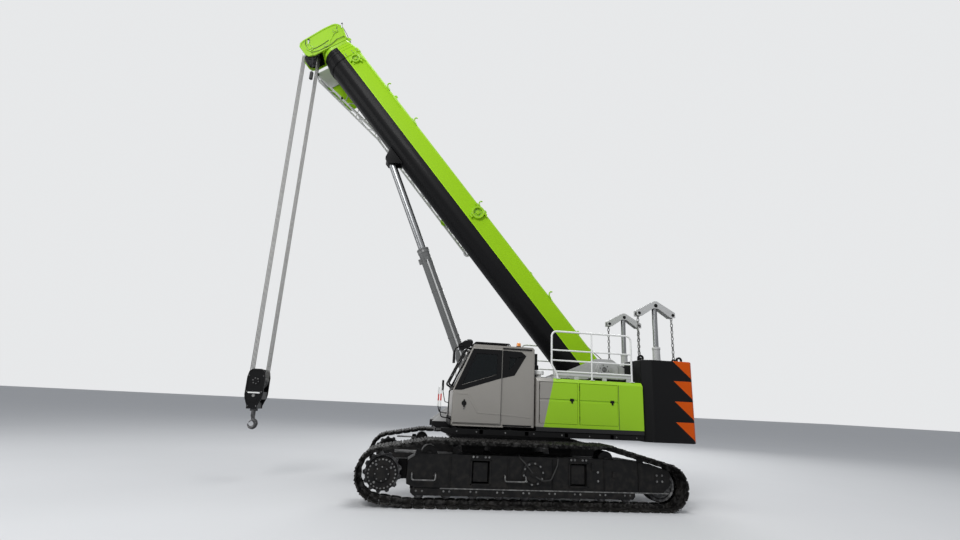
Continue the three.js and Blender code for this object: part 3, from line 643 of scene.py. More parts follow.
# %% Tube tree
def tube_tree():
    tree = Tree("bent_tube")
    radius = tree.input("Radius", "Float", 0.02)
    bend = tree.input("Bend", "Float", 0.0)
    sides = tree.input("Sides", "Int", 10)
    material = tree.input("Material", "Material")
    curves = tree.node("GeometryNodeMeshToCurve", {"Mesh": tree.start.outputs["Geometry"]})
    curves = tree.node("GeometryNodeFilletCurve", {"Curve": curves, "Radius": bend, "Count": 5,
        "Limit Radius": True}, mode="POLY")
    ring = tree.node("GeometryNodeCurvePrimitiveCircle", {"Resolution": sides, "Radius": radius})
    tube = tree.node("GeometryNodeCurveToMesh", {"Curve": curves, "Profile Curve": ring, "Fill Caps": True})
    return tree.finish(tube, material)


TUBES = tube_tree()


def lines_mesh(name, runs, place):
    """A carrier mesh of edges only, one open or closed run after another."""
    points, edges = [], []
    for run in runs:
        first = len(points)
        points += [place @ Vector(point) for point in run]
        edges += [(first + i, first + i + 1) for i in range(len(run) - 1)]
    carrier = bpy.data.meshes.new(name)
    carrier.from_pydata(points, edges, [])
    return carrier


def tubes(name, runs, radius, material, body, slot, bend=0.0, sides=10, place=CRANE, **kept):
    made = grow(TUBES, lines_mesh(name, runs, place), Radius=radius, Bend=bend, Sides=sides,
        Material=material)
    return show(name, made, body, slot, **kept)


# %% [markdown]
# Bolts are the machine's grain: a washer and a hexagon head, turned to face out of the surface. The carrier
# has one vertex a bolt and a vector attribute for its direction.

# %% Bolt tree
def bolt_tree():
    tree = Tree("hex_bolts")
    radius = tree.input("Radius", "Float", 0.015)
    material = tree.input("Material", "Material")
    facing = tree.node("GeometryNodeInputNamedAttribute", {"Name": "facing"}, data_type="FLOAT_VECTOR")
    turn = tree.node("FunctionNodeAlignRotationToVector", {"Vector": facing}, axis="Z")

    def slab(vertices, wide, tall, lift):
        across, depth, rise = (tree.node("ShaderNodeMath", {0: radius, 1: share}, operation="MULTIPLY")
            for share in (wide, tall, lift))
        column = tree.node("GeometryNodeMeshCylinder", {"Vertices": vertices, "Radius": across,
            "Depth": depth}, output="Mesh")
        offset = tree.node("ShaderNodeCombineXYZ", {"Z": rise})
        return tree.node("GeometryNodeTransform", {"Geometry": column, "Translation": offset})

    join = tree.group.nodes.new("GeometryNodeJoinGeometry")
    for part in (slab(12, 1.35, 0.25, 0.1), slab(6, 1.0, 0.75, 0.58)):
        tree.group.links.new(part, join.inputs[0])
    points = tree.node("GeometryNodeMeshToPoints", {"Mesh": tree.start.outputs["Geometry"]})
    heads = tree.node("GeometryNodeInstanceOnPoints", {"Points": points, "Instance": join.outputs[0],
        "Rotation": turn})
    return tree.finish(heads, material)


BOLTS = bolt_tree()


def bolts(name, spots, radius, body, slot="forged_steel", material=None, place=CRANE):
    """Hex bolts on (point, direction) spots."""
    carrier = bpy.data.meshes.new(name)
    carrier.from_pydata([place @ Vector(point) for point, _ in spots], [], [])
    facing = carrier.attributes.new("facing", "FLOAT_VECTOR", "POINT")
    turned = place.to_3x3()
    for i, (_, direction) in enumerate(spots):
        facing.data[i].vector = turned @ Vector(direction)
    made = grow(BOLTS, carrier, Radius=radius, Material=material or bolt_steel)
    return show(name, made, body, slot)


def bolt_ring(centre, normal, radius, count, phase=0.0):
    """Spots round a circle, all facing along its normal."""
    normal = Vector(normal).normalized()
    aside = normal.orthogonal().normalized()
    other = normal.cross(aside)
    angles = [CIRCLE * (k + phase) / count for k in range(count)]
    return [(Vector(centre) + (aside * cos(a) + other * sin(a)) * radius, normal) for a in angles]


# %% [markdown]
# Wire rope is six strands laid round a core. The tree sweeps a six-lobed section along the run while the
# curve's tilt turns it once in every lay, so the strands wind as real ones do.

# %% Rope tree
def rope_tree():
    tree = Tree("laid_rope")
    radius = tree.input("Radius", "Float", 0.011)
    lay = tree.input("Lay", "Float", 0.16)
    material = tree.input("Material", "Material")
    curve = tree.node("GeometryNodeMeshToCurve", {"Mesh": tree.start.outputs["Geometry"]})
    step = tree.node("ShaderNodeMath", {0: lay, 1: 1 / 6}, operation="MULTIPLY")
    curve = tree.node("GeometryNodeResampleCurve", {"Curve": curve, "Length": step}, mode="LENGTH")
    along = tree.node("GeometryNodeSplineParameter", output="Length")
    turns = tree.node("ShaderNodeMath", {0: along, 1: lay}, operation="DIVIDE")
    tilt = tree.node("ShaderNodeMath", {0: turns, 1: CIRCLE}, operation="MULTIPLY")
    curve = tree.node("GeometryNodeSetCurveTilt", {"Curve": curve, "Tilt": tilt})
    valley = tree.node("ShaderNodeMath", {0: radius, 1: 0.76}, operation="MULTIPLY")
    section = tree.node("GeometryNodeCurveStar", {"Points": 6, "Inner Radius": valley,
        "Outer Radius": radius})
    rope = tree.node("GeometryNodeCurveToMesh", {"Curve": curve, "Profile Curve": section, "Fill Caps": True})
    return tree.finish(rope, material)


ROPES = rope_tree()


def ropes(name, runs, radius, body, place=CRANE, lay=0.16, replaces=()):
    made = grow(ROPES, lines_mesh(name, runs, place), Radius=radius, Lay=lay, Material=rope_steel)
    return show(name, made, body, "wire_rope", smooth=60, replaces=replaces)

# %% [markdown]
# ## Undercarriage
# A track is 68 rolled shoes bolted to a chain that lies round five circles: approach roller, idler, two
# carrier rollers and sprocket. A belt round circles is the edge of their convex hull, so the path is found
# from samples of the circles. One shoe is modelled, and a tree lays copies of it along the path.

# %% Track path and shoe
TRACK_MIDDLE, TRACK_WIDTH, SHOES = 1.94, 0.8, 68
SPROCKET_AT, IDLER_AT = (-2.69, 0.54), (2.74, 0.44)
BELT_CIRCLES = [(-2.2, 0.15, 0.15), (*IDLER_AT, 0.44), (1.6, 0.92, 0.25), (-1.85, 0.92, 0.25),
    (*SPROCKET_AT, 0.48)]


def belt(offset, steps=96):
    """Points of the belt line round the circles, moved out by an offset."""
    points = [(y + (r + offset) * cos(CIRCLE * k / steps), z + (r + offset) * sin(CIRCLE * k / steps)) for y,
        z, r in BELT_CIRCLES for k in range(steps)]
    return [points[i] for i in geometry.convex_hull_2d([Vector(point) for point in points])]


def track_shoe(pitch):
    """One shoe: X across the track, Y outwards from the ground face, Z along the chain."""
    shoe = Solid(Matrix.Identity(4))
    half, reach, corner = TRACK_WIDTH / 2, pitch / 2 - 0.006, 0.045
    plan = [(-half + corner, -reach), (half - corner, -reach), (half, -reach + corner),
        (half, reach - corner), (half - corner, reach), (-half + corner, reach), (-half, reach - corner),
        (-half, -reach + corner)]
    shoe.prism(plan, "y", -0.036, -0.014)
    for middle, tall in ((-0.07, 0.0), (0.0, -0.004), (0.07, 0.0)):
        rib = [(-0.016, middle - 0.015), (tall, middle - 0.007), (tall, middle + 0.007),
            (-0.016, middle + 0.015)]
        shoe.prism(rib, "x", -half + 0.03, half - 0.03)
    for side in (-1, 1):
        link = [(-0.036, -reach - 0.02), (-0.036, reach - 0.03), (-0.06, reach + 0.004),
            (-0.1, reach - 0.012), (-0.106, 0.0), (-0.1, -reach + 0.012), (-0.06, -reach - 0.028)]
        inner, outer = side * 0.075, side * 0.115
        shoe.prism(link, "x", inner, outer)
        for along in (-0.045, 0.045):
            shoe.bar((side * 0.16, -0.042, along), (side * 0.16, -0.03, along), 0.016, 6)
            shoe.bar((side * 0.16, -0.016, along), (side * 0.16, -0.006, along), 0.014, 6)
    shoe.bar((-0.14, -0.068, reach), (0.14, -0.068, reach), 0.022, 8)
    return shoe.baked("one_shoe")


def shoe_tree():
    tree = Tree("shoes_on_chain")
    shoe = tree.input("Shoe", "Object")
    count = tree.input("Count", "Int", SHOES)
    material = tree.input("Material", "Material")
    chain = tree.node("GeometryNodeMeshToCurve", {"Mesh": tree.start.outputs["Geometry"]})
    points = tree.node("GeometryNodeCurveToPoints", {"Curve": chain, "Count": count})
    turn = tree.node("FunctionNodeAxesToRotation", {"Primary Axis": points.node.outputs["Tangent"],
        "Secondary Axis": ACROSS}, primary_axis="Z", secondary_axis="X")
    one = tree.node("GeometryNodeObjectInfo", {"Object": shoe}, output="Geometry")
    laid = tree.node("GeometryNodeInstanceOnPoints", {"Points": points, "Instance": one, "Rotation": turn})
    return tree.finish(laid, material)


LAID_SHOES = shoe_tree()
belt_line = belt(-0.014)
belt_length = sum(math.dist(a, b) for a, b in zip(belt_line, belt_line[1:] + belt_line[:1]))
shoe_model = placed("one_shoe", track_shoe(belt_length / SHOES))
for name, side in SIDES.items():
    ring = [CRANE @ Vector((side * TRACK_MIDDLE, y, z)) for y, z in belt(0.0)]
    carrier = bpy.data.meshes.new(name + "_belt")
    carrier.from_pydata(ring, [(i, (i + 1) % len(ring)) for i in range(len(ring))], [])
    shoes = grow(LAID_SHOES, carrier, Shoe=shoe_model, Material=track_steel)
    show(name + "_track_shoes", shoes, LOWER, "track_steel", replaces=(name + "_track",))
bpy.data.objects.remove(shoe_model)
print("shoes", SHOES, "a side, pitch", round(belt_length / SHOES, 4), "m")

# %% [markdown]
# Wheels are turned parts, so a profile spun about the axle gives hub, tread and flanges in one closed
# shape. The sprocket's toothed ring is an outline instead. Its middle is the final drive, a stepped drum
# with a ring of bolts and three oil plugs.

# %% Sprockets, idlers and rollers
def toothed_ring(teeth, root, tip):
    """An outline of rounded teeth about the origin."""
    points = []
    for k in range(teeth):
        for share, radius in ((0.0, root), (0.18, root), (0.36, tip), (0.64, tip), (0.82, root)):
            angle = CIRCLE * (k + share) / teeth
            points.append((radius * cos(angle), radius * sin(angle)))
    return points


def mirrored(side):
    """The crane's frame on the left, its mirror image on the right."""
    return CRANE if side > 0 else CRANE @ Matrix.Scale(-1, 4, ACROSS)


FRAME_OUT = 2.1
ROLLER_STEPS = [-2.0 + 0.5 * i for i in range(9)]
for name, side in SIDES.items():
    place = mirrored(side)
    y, z = SPROCKET_AT
    drive = Solid(place).use(forged_steel)
    teeth = [(y + a, z + b) for a, b in toothed_ring(13, 0.318, 0.356)]
    drive.prism(teeth, "x", 1.905, 1.975)
    drive.use(chassis_paint)
    drive.turned((1.7, y, z), ACROSS, [(0, 0.2), (0.0, 0.235), (0.19, 0.24), (0.195, 0.285), (0.285, 0.285),
        (0.29, 0.255), (0.395, 0.255), (0.4, 0.275), (0.47, 0.275), (0.482, 0.262), (0.484, 0.15),
        (0.505, 0.14), (0.508, 0.1), (0.508, 0.0)], 48)
    drive.use(bolt_steel)
    for angle in (0.6, 2.2, 4.0):
        spot = (y + 0.19 * cos(angle), z + 0.19 * sin(angle))
        drive.bar((2.18, *spot), (2.198, *spot), 0.022, 12)
    drive.done(name + "_final_drive", LOWER, "dark_steel", replaces=(name + "_drive_sprocket",))
    bolts(name + "_drive_bolts", bolt_ring((2.182, y, z), ACROSS, 0.245, 24), 0.012, LOWER, place=place)
    bolts(name + "_cover_bolts", bolt_ring((2.206, y, z), ACROSS, 0.118, 8), 0.009, LOWER, place=place)

    y, z = IDLER_AT
    idler = Solid(place).use(forged_steel)
    idler.turned((1.715, y, z), ACROSS, [(0, 0.12), (0.0, 0.23), (0.03, 0.262), (0.01, 0.3), (0.06, 0.316),
        (0.235, 0.316), (0.285, 0.3), (0.265, 0.262), (0.295, 0.23), (0.295, 0.12), (0.322, 0.11),
        (0.322, 0.07), (-0.027, 0.07), (-0.027, 0.11)], 48, closed=True)
    idler.use(chassis_paint).bar((1.672, y, z), (2.048, y, z), 0.069, 24)
    idler.done(name + "_idler_wheel", LOWER, "dark_steel", replaces=(name + "_idler",))

    rollers = Solid(place).use(forged_steel)
    for y in ROLLER_STEPS:
        rollers.turned((1.725, y, 0.227), ACROSS, [(0, 0.055), (0.0, 0.085), (0.035, 0.09), (0.037, 0.11),
            (0.062, 0.11), (0.066, 0.094), (0.284, 0.094), (0.288, 0.11), (0.313, 0.11), (0.315, 0.09),
            (0.35, 0.085), (0.35, 0.055)], 28)
        rollers.use(chassis_paint)
        for x in (1.69, 2.07):
            rollers.box((x, y - 0.085, 0.19), (x + 0.035, y + 0.085, 0.296))
        rollers.use(forged_steel)
    rollers.use(chassis_paint)
    for x in (1.668, 2.105):
        lower = [(ROLLER_STEPS[0] - 0.11, 0.185), (ROLLER_STEPS[-1] + 0.11, 0.185),
            (ROLLER_STEPS[-1] + 0.16, 0.235), (ROLLER_STEPS[-1] + 0.16, 0.305),
            (ROLLER_STEPS[0] - 0.16, 0.305), (ROLLER_STEPS[0] - 0.16, 0.235)]
        rollers.prism(lower, "x", x, x + 0.018)
    rollers.done(name + "_bottom_rollers", LOWER, "dark_steel", bevel=0.003,
        replaces=(name + "_track_rollers",))
    spots = [((2.123, y + off, 0.262), ACROSS) for y in ROLLER_STEPS for off in (-0.055, 0.055)]
    bolts(name + "_roller_bolts", spots, 0.014, LOWER, place=place)

# %% [markdown]
# The track frames are welded boxes, for which softened copies are enough. What makes them read as real is
# bolted on: a bright worn flange along the foot, beam ends in their windows, step irons, the grease valve's
# cover and travel hoses.

# %% Track frames
def u_step(y0, y1, z, drop=0.11, out=0.1):
    """A step iron: out from the frame, along it and back."""
    x = FRAME_OUT - 0.02
    return [(x, y0, z), (x + out, y0, z), (x + out, y0, z - drop), (x + out, y1, z - drop), (x + out, y1, z),
        (x, y1, z)]


BEAM_PLACES = (-0.875, 1.03)
for name, side in SIDES.items():
    place = mirrored(side)
    softened(name + "_track_frame", chassis_paint, "dark_steel", bevel=0.01)
    trim = Solid(place).use(bolt_steel)
    trim.box((FRAME_OUT - 0.01, -1.62, 0.3), (FRAME_OUT + 0.03, 2.86, 0.318))
    trim.box((1.7, -2.5, 0.902), (2.06, -2.02, 0.916))
    trim.use(chassis_paint)
    for y in (-1.45, -0.35, 0.52, 1.55, 2.25):
        trim.box((FRAME_OUT - 0.005, y - 0.008, 0.318), (FRAME_OUT + 0.024, y + 0.008, 0.86))
    for beam in BEAM_PLACES:
        for y0, y1 in ((beam - 0.2, beam - 0.168), (beam + 0.168, beam + 0.2)):
            trim.box((FRAME_OUT - 0.005, y0, 0.38), (FRAME_OUT + 0.018, y1, 0.82))
        for z0, z1 in ((0.37, 0.4), (0.802, 0.832)):
            trim.box((FRAME_OUT - 0.005, beam - 0.2, z0), (FRAME_OUT + 0.018, beam + 0.2, z1))
        trim.box((1.95, beam - 0.135, 0.43), (2.062, beam + 0.135, 0.77))
    trim.turned((FRAME_OUT, 0.13, 0.6), ACROSS, [(0, 0.215), (0.03, 0.215), (0.04, 0.2), (0.045, 0.165),
        (0.075, 0.15), (0.075, 0.06), (0.095, 0.055), (0.095, 0.0)], 40)
    trim.box((FRAME_OUT - 0.005, 2.6, 0.5), (FRAME_OUT + 0.012, 2.76, 0.66))
    for y in (-2.05, 2.3):
        trim.prism([(y - 0.07, 0.86), (y + 0.07, 0.86), (y + 0.045, 0.97), (y - 0.045, 0.97)], "x", 2.05,
            2.08)
    for y, z, tall in ((1.74, 0.62, 0.1), (1.32, 0.75, 0.14)):
        trim.box((FRAME_OUT - 0.005, y - 0.03, z - tall / 2), (FRAME_OUT + 0.035, y + 0.03, z + tall / 2))
    trim.done(name + "_frame_trim", LOWER, "dark_steel", bevel=0.003)
    spots = [((FRAME_OUT + 0.018, beam + off, 0.868), ACROSS) for beam in BEAM_PLACES
        for off in (-0.15, -0.08, 0.08, 0.15)]
    spots += [((FRAME_OUT + 0.002, 1.42, z), ACROSS) for z in (0.5, 0.66)]
    spots += bolt_ring((FRAME_OUT + 0.04, 0.13, 0.6), ACROSS, 0.185, 10)
    spots += [((FRAME_OUT + 0.012, y, z), ACROSS) for y in (2.625, 2.735) for z in (0.525, 0.635)]
    bolts(name + "_frame_bolts", spots, 0.016, LOWER, place=place)
    tubes(name + "_step_irons", [u_step(-2.15, -1.72, 0.56), u_step(-0.42, -0.02, 0.56, 0.1, 0.09)], 0.014,
        bolt_steel, LOWER, "dark_steel", bend=0.04, place=place)
    tubes(name + "_travel_hoses", [[(2.19, 0.1, 0.62), (2.215, -0.06, 0.8), (2.14, -0.12, 0.86),
        (2.06, -0.14, 0.915)], [(2.19, 0.16, 0.56), (2.2, 0.3, 0.49), (2.15, 0.47, 0.5), (2.13, 0.6, 0.76),
        (2.11, 0.62, 0.87), (2.05, 0.63, 0.915)]], 0.013, black_rubber, LOWER, "dark_steel", bend=0.07,
        place=place)
    tubes(name + "_carrier_pins", [[(1.695, y, 0.872), (1.665, y, 0.872), (1.665, y, 0.78), (1.7, y, 0.75)]
        for y in (-1.78, 1.67)], 0.012, bolt_steel, LOWER, "dark_steel", bend=0.03, place=place)

# %% [markdown]
# Between the tracks sits the carbody with its two axle beams. They are thick plates with wide welds, so a
# larger bevel suits them. Ring bolts, gussets and hoses fill the gap below the turntable.

# %% Carbody and slewing ring
softened("carbody", chassis_paint, "dark_steel", bevel=0.014)
softened("front_axle_beam", chassis_paint, "dark_steel", bevel=0.01)
softened("rear_axle_beam", chassis_paint, "dark_steel", bevel=0.01)
softened("slewing_ring", forged_steel, "dark_steel", bevel=0.004)
bolts("slewing_ring_bolts", bolt_ring((0, 0, 0.982), UPWARD, 0.875, 40), 0.014, LOWER)
carbody_trim = Solid().use(chassis_paint)
for beam in BEAM_PLACES:
    for side in (-1, 1):
        carbody_trim.prism([(beam - 0.26, 0.985), (beam - 0.22, 0.78), (beam + 0.22, 0.78),
            (beam + 0.26, 0.985)], "x", side * 0.955 - 0.012, side * 0.955 + 0.012)
        carbody_trim.prism([(side * 0.97, 0.775), (side * 0.97, 0.84), (side * 1.35, 0.778)], "y",
            beam - 0.012, beam + 0.012)
carbody_trim.done("carbody_gussets", LOWER, "dark_steel")
bolts("axle_beam_bolts", [((side * x, beam + off, 0.777), UPWARD) for side in (-1, 1) for beam in BEAM_PLACES
    for off in (-0.11, 0.11) for x in (1.1, 1.22, 1.34)], 0.014, LOWER)
tubes("carbody_hoses", [[(x, -0.3, 0.86), (x, -0.52, 0.9), (x + 0.3, -0.6, 0.83), (x + 0.72, -0.62, 0.81),
    (1.62, -0.64 + x / 9, 0.8)] for x in (0.1, 0.18, 0.26, 0.34)], 0.013, black_rubber, LOWER, "dark_steel",
    bend=0.08)

# %% [markdown]
# ## Turntable and deck
# Two tall side plates carry the boom foot and keep the frame's own shape with softened edges. Black deck
# beams run under cab and hoods, ribs stiffen the plates, and hoses climb from the slewing centre, since
# open plates without plumbing look like a toy.

# %% Turntable
CHEEK_OUT = 0.48
softened("turntable_frame", frame_paint, "pale_grey_paint", bevel=0.008)
deck = Solid().use(chassis_paint)
for side in (-1, 1):
    x0, x1 = side * 1.36, side * 1.475
    front = -1.62 if side > 0 else -1.16
    deck.prism([(front, 1.262), (front + 0.1, 1.226), (2.72, 1.226), (2.72, 1.332), (front, 1.332)], "x", x0,
        x1)
    near, far = side * 0.52, side * 0.6
    deck.box((near, -1.3, 1.236), (far, 2.6, 1.332))
    for y in (-0.8, 0.15, 1.0, 2.0):
        deck.box((near, y - 0.04, 1.24), (x1, y + 0.04, 1.325))
deck.box((0.6, -1.74, 1.262), (1.43, -1.44, 1.29))
deck.box((0.6, -1.74, 1.29), (1.43, -1.715, 1.325))
deck.done("deck_beams", UPPER, "dark_steel", bevel=0.004)
ribs = Solid().use(pale_grey_paint)
for side in (-1, 1):
    for y, foot, top in ((-0.6, 1.24, 1.84), (0.45, 1.24, 2.1), (1.35, 1.24, 2.55), (2.6, 1.24, 2.86)):
        x0, x1 = side * (CHEEK_OUT - 0.002), side * (CHEEK_OUT + 0.055)
        ribs.box((x0, y - 0.01, foot), (x1, y + 0.01, top))
    x0, x1 = sorted((side * (CHEEK_OUT + 0.048), side * (CHEEK_OUT + 0.072)))
    ribs.turned((x0, 2.25, 2.75), ACROSS, [(0, 0.15), (0.024, 0.15), (0.024, 0.06), (0, 0.06)], 32,
        closed=True)
    ribs.use(bolt_steel).bar((x0, 2.25, 2.75), (x1 + side * 0.006, 2.25, 2.75), 0.058,
        24).use(pale_grey_paint)
ribs.done("side_plate_ribs", UPPER, "pale_grey_paint", bevel=0.003)
bolts("foot_pin_bolts", [spot for side in (-1, 1) for spot in bolt_ring((side * (CHEEK_OUT + 0.073), 2.25,
    2.75), (side, 0, 0), 0.105, 6)], 0.012, UPPER)
bolts("deck_bolts", [((1.476, y, 1.279), ACROSS) for y in (-1.3, -0.9, -0.3, 0.3, 0.9, 1.5, 2.1, 2.55)]
    + [((-1.476, y, 1.279), (-1, 0, 0)) for y in (-0.9, -0.3, 0.3, 0.9, 1.5, 2.1, 2.55)], 0.012, UPPER)
tubes("turntable_hoses", [[(x, 0.75, 1.13), (x, 1.15, 1.22), (x * 1.1, 1.9, 1.25), (x * 1.1, 2.3, 1.5),
    (x * 1.1, 2.52, 1.8)] for x in (-0.24, -0.16, 0.16, 0.24, 0.32)], 0.014, black_rubber, UPPER,
    "black_paint", bend=0.15)

# %% [markdown]
# Each winch is a drum with its rope wound on in neat turns between two flanges. A loop writes the turns out
# as a helix, and the tube tree sweeps the rope along it.

# %% Winches
WINCH_Y, DRUM_R, DRUM_HALF, ROPE_R = 2.85, 0.19, 0.318, 0.013
for name, height in (("main_winch", 2.48), ("auxiliary_winch", 1.86)):
    winch = Solid().use(chassis_paint)
    winch.turned((-0.429, WINCH_Y, height), ACROSS, [(0, 0.118), (0.07, 0.118), (0.072, 0.255),
        (0.082, 0.265), (0.098, 0.265), (0.104, 0.255), (0.108, 0.175), (0.75, 0.175), (0.754, 0.255),
        (0.76, 0.265), (0.776, 0.265), (0.786, 0.255), (0.788, 0.118), (0.858, 0.118), (0.858, 0.0)], 40)
    winch.done(name + "_drum", UPPER, "black_paint", replaces=(name,))
    turns = int(2 * DRUM_HALF / (2.15 * ROPE_R))
    wound = [(-DRUM_HALF + 2 * DRUM_HALF * k / (turns * 20), WINCH_Y + (DRUM_R + 0.001)
        * cos(CIRCLE * k / 20), height + (DRUM_R + 0.001) * sin(CIRCLE * k / 20)) for k in range(turns * 20)]
    tubes(name + "_rope", [wound], ROPE_R, rope_steel, UPPER, "wire_rope", sides=6)
    bolts(name + "_bolts", [spot for side in (-1, 1) for spot in bolt_ring((side * 0.358, WINCH_Y, height),
        (side, 0, 0), 0.15, 10)], 0.012, UPPER)

# %% [markdown]
# ## Cab
# Shell and door are pressed sheet with generous radii, so they take a wide bevel. Pressed lines, black
# bands round the panes, the slide rail under the door and the screen's frame are flat trim, set just proud
# of the panel.

# %% Cab panels
softened("cab_shell", warm_grey_paint, "warm_grey_paint", bevel=0.022, segments=3)
softened("cab_door", warm_grey_paint, "warm_grey_paint", bevel=0.01, segments=3)
for pane in ("cab_door_glass", "cab_windscreen", "cab_quarter_glass", "cab_right_glass", "cab_roof_glass",
        "cab_rear_glass"):
    softened(pane, glass, "tinted_glass", bevel=0.002, segments=1)

CAB_OUT, CAB_SKIN, CAB_IN = 1.5, 1.445, 0.56


def press_line(points, x, width=0.012, proud=0.006):
    """A raised bead along a run of (y, z) points on a panel facing +X."""
    bead = []
    for (y0, z0), (y1, z1) in zip(points, points[1:]):
        across = Vector((z0 - z1, y1 - y0)).normalized() * width / 2
        bead.append([(y0 - across.x, z0 - across.y), (y1 - across.x, z1 - across.y),
            (y1 + across.x, z1 + across.y), (y0 + across.x, z0 + across.y)])
    return [(outline, x - 0.004, x + proud) for outline in bead]


def both_halves(half):
    """A symmetric outline from its right half, which runs from top to foot or back."""
    return half + [(-y, z) for y, z in reversed(half)]


def frame_band(outline, inset, x0, x1, solid):
    """A flat band inside an outline of (y, z) points, as wide as the inset."""
    middle = Vector((sum(y for y, z in outline), sum(z for y, z in outline))) / len(outline)
    count = len(outline)
    inner = []
    for i in range(count):
        before, here, after = (Vector(outline[(i + k) % count]) for k in (-1, 0, 1))
        a, b = (here - before).normalized(), (after - here).normalized()
        na, nb = Vector((-a.y, a.x)), Vector((-b.y, b.x))
        if na.dot(middle - here) < 0:
            na, nb = -na, -nb
        bisector = (na + nb).normalized()
        inner.append(here + bisector * inset / max(0.35, bisector.dot(na)))
    rings = [[(x, *point) for point in loop] for x, loop in ((x0, outline), (x1, outline), (x1, inner),
        (x0, inner))]
    solid.rings(rings, closed=True)


DOOR_PANE = [(-1.403, 2.09), (-1.038, 2.952), (-0.424, 2.952), (-0.424, 2.365), (-1.25, 2.09)]
QUARTER_PANE = [(-0.395, 2.37), (-0.395, 2.955), (0.01, 2.945), (0.118, 2.862), (-0.13, 2.44)]
SCREEN = [(-1.405, 2.145), (-1.03, 2.935)]

door_trim = Solid().use(warm_grey_paint)
for outline, x0, x1 in press_line([(-1.34, 2.02), (-1.12, 2.02), (-0.9, 1.66), (-0.435, 1.64)], CAB_OUT,
        0.03):
    door_trim.prism(outline, "x", x0, x1)
door_trim.use(black_paint)
frame_band(DOOR_PANE, 0.098, CAB_OUT - 0.006, CAB_OUT + 0.004, door_trim)
door_trim.use(chassis_paint)
door_trim.turned((CAB_OUT - 0.002, -1.185, 1.83), ACROSS, [(0, 0.052), (0.008, 0.052), (0.01, 0.044),
    (0.01, 0.0)], 24)
door_trim.box((CAB_OUT + 0.006, -1.2, 1.755), (CAB_OUT + 0.034, -1.17, 1.905))
door_trim.use(bolt_steel).bar((CAB_OUT, -1.185, 1.722), (CAB_OUT + 0.012, -1.185, 1.722), 0.014, 12)
door_trim.done("cab_door_trim", "cab_door", "warm_grey_paint", bevel=0.003)

cab_trim = Solid().use(warm_grey_paint)
for outline, x0, x1 in press_line([(-0.4, 1.64), (0.22, 1.6)], CAB_SKIN, 0.03):
    cab_trim.prism(outline, "x", x0, x1)
for outline, x0, x1 in press_line([(0.262, 1.45), (0.262, 2.98)], CAB_SKIN, 0.03):
    cab_trim.prism(outline, "x", x0, x1)
cab_trim.box((CAB_SKIN - 0.01, -1.425, 1.385), (CAB_OUT + 0.012, -0.36, 1.412))
cab_trim.box((CAB_SKIN - 0.01, -1.425, 1.385), (CAB_OUT + 0.012, -1.405, 1.44))
cab_trim.use(chassis_paint)
cab_trim.box((CAB_SKIN - 0.005, -0.36, 1.412), (CAB_SKIN + 0.028, 0.24, 1.44))
cab_trim.box((CAB_SKIN - 0.005, -0.4, 2.98), (CAB_SKIN + 0.026, 0.24, 3.008))
cab_trim.box((CAB_IN + 0.02, -1.452, 1.395), (CAB_SKIN - 0.02, -1.425, 1.56))
cab_trim.use(black_paint)
frame_band(QUARTER_PANE, 0.14, CAB_SKIN - 0.006, CAB_SKIN + 0.004, cab_trim)
sill, brow = (Vector(point) for point in SCREEN)
slope = (brow - sill).normalized()
proud, back, reach = Vector((-slope.y, slope.x)) * 0.012, Vector((0.02, 0)), slope * 0.03
for x0, x1 in ((CAB_IN + 0.055, CAB_IN + 0.105), (CAB_SKIN - 0.105, CAB_SKIN - 0.055)):
    cab_trim.prism([sill + proud, brow + proud, brow + back, sill + back], "x", x0, x1)
for end in (sill, brow):
    cab_trim.prism([end + proud - reach, end + proud + reach, end + back + reach, end + back - reach], "x",
        CAB_IN + 0.055, CAB_SKIN - 0.055)
cab_trim.done("cab_trim", UPPER, "warm_grey_paint", bevel=0.003)

# %% [markdown]
# Screen guard, roof guard, grab rail and mirror arms are bent tube. Lamps, mirrors, a beacon, two wipers
# and the white and red markers at the cab's nose are small solids.

# %% Cab guards, lamps and mirrors
def on_screen(share, out=0.0):
    """A (y, z) place on the windscreen, from its sill (0) to its head (1), moved out from the glass."""
    return tuple(sill.lerp(brow, share) + Vector((-slope.y, slope.x)) * out)


guard_runs = [[(x, *on_screen(0.0, 0.0)), (x, *on_screen(0.02, 0.12)), (x, *on_screen(0.99, 0.12)),
    (x, *on_screen(1.02, 0.01))] for x in (0.66, 0.82, 1.19, 1.36)]
guard_runs += [[(0.66, *on_screen(share, 0.12)), (1.36, *on_screen(share, 0.12))]
    for share in (0.25, 0.62, 0.97)]
tubes("screen_guard", guard_runs, 0.013, black_paint, UPPER, "black_paint", bend=0.04)
roof_runs = [[(x, -1.0, 3.04), (x, -0.98, 3.115), (x, -0.22, 3.115), (x, -0.2, 3.04)]
    for x in (0.72, 0.86, 1.0, 1.14, 1.28)]
roof_runs += [[(0.72, y, 3.115), (1.28, y, 3.115)] for y in (-0.95, -0.7, -0.45, -0.25)]
tubes("roof_guard", roof_runs, 0.012, black_paint, UPPER, "black_paint", bend=0.04)
tubes("cab_grab_rails", [[(1.452, -1.44, 1.5), (1.49, -1.5, 1.54), (1.49, -1.5, 2.06), (1.452, -1.43, 2.1)]],
    0.013, black_paint, UPPER, "black_paint", bend=0.03)
tubes("mirror_arms", [[(1.4, -1.02, 3.02), (1.45, -1.3, 3.0), (1.478, -1.43, 2.93), (1.478, -1.43, 2.86)],
    [(0.66, -1.45, 1.6), (0.66, -1.62, 1.62), (0.66, -1.66, 1.75), (0.66, -1.66, 2.02)],
    [(1.38, -1.45, 1.52), (1.38, -1.63, 1.54), (1.38, -1.66, 1.66), (1.38, -1.66, 1.98)],
    [(-1.3, -1.17, 1.8), (-1.44, -1.34, 1.84), (-1.46, -1.4, 2.1), (-1.46, -1.4, 2.22)]], 0.011, black_paint,
    UPPER, "black_paint", bend=0.05)

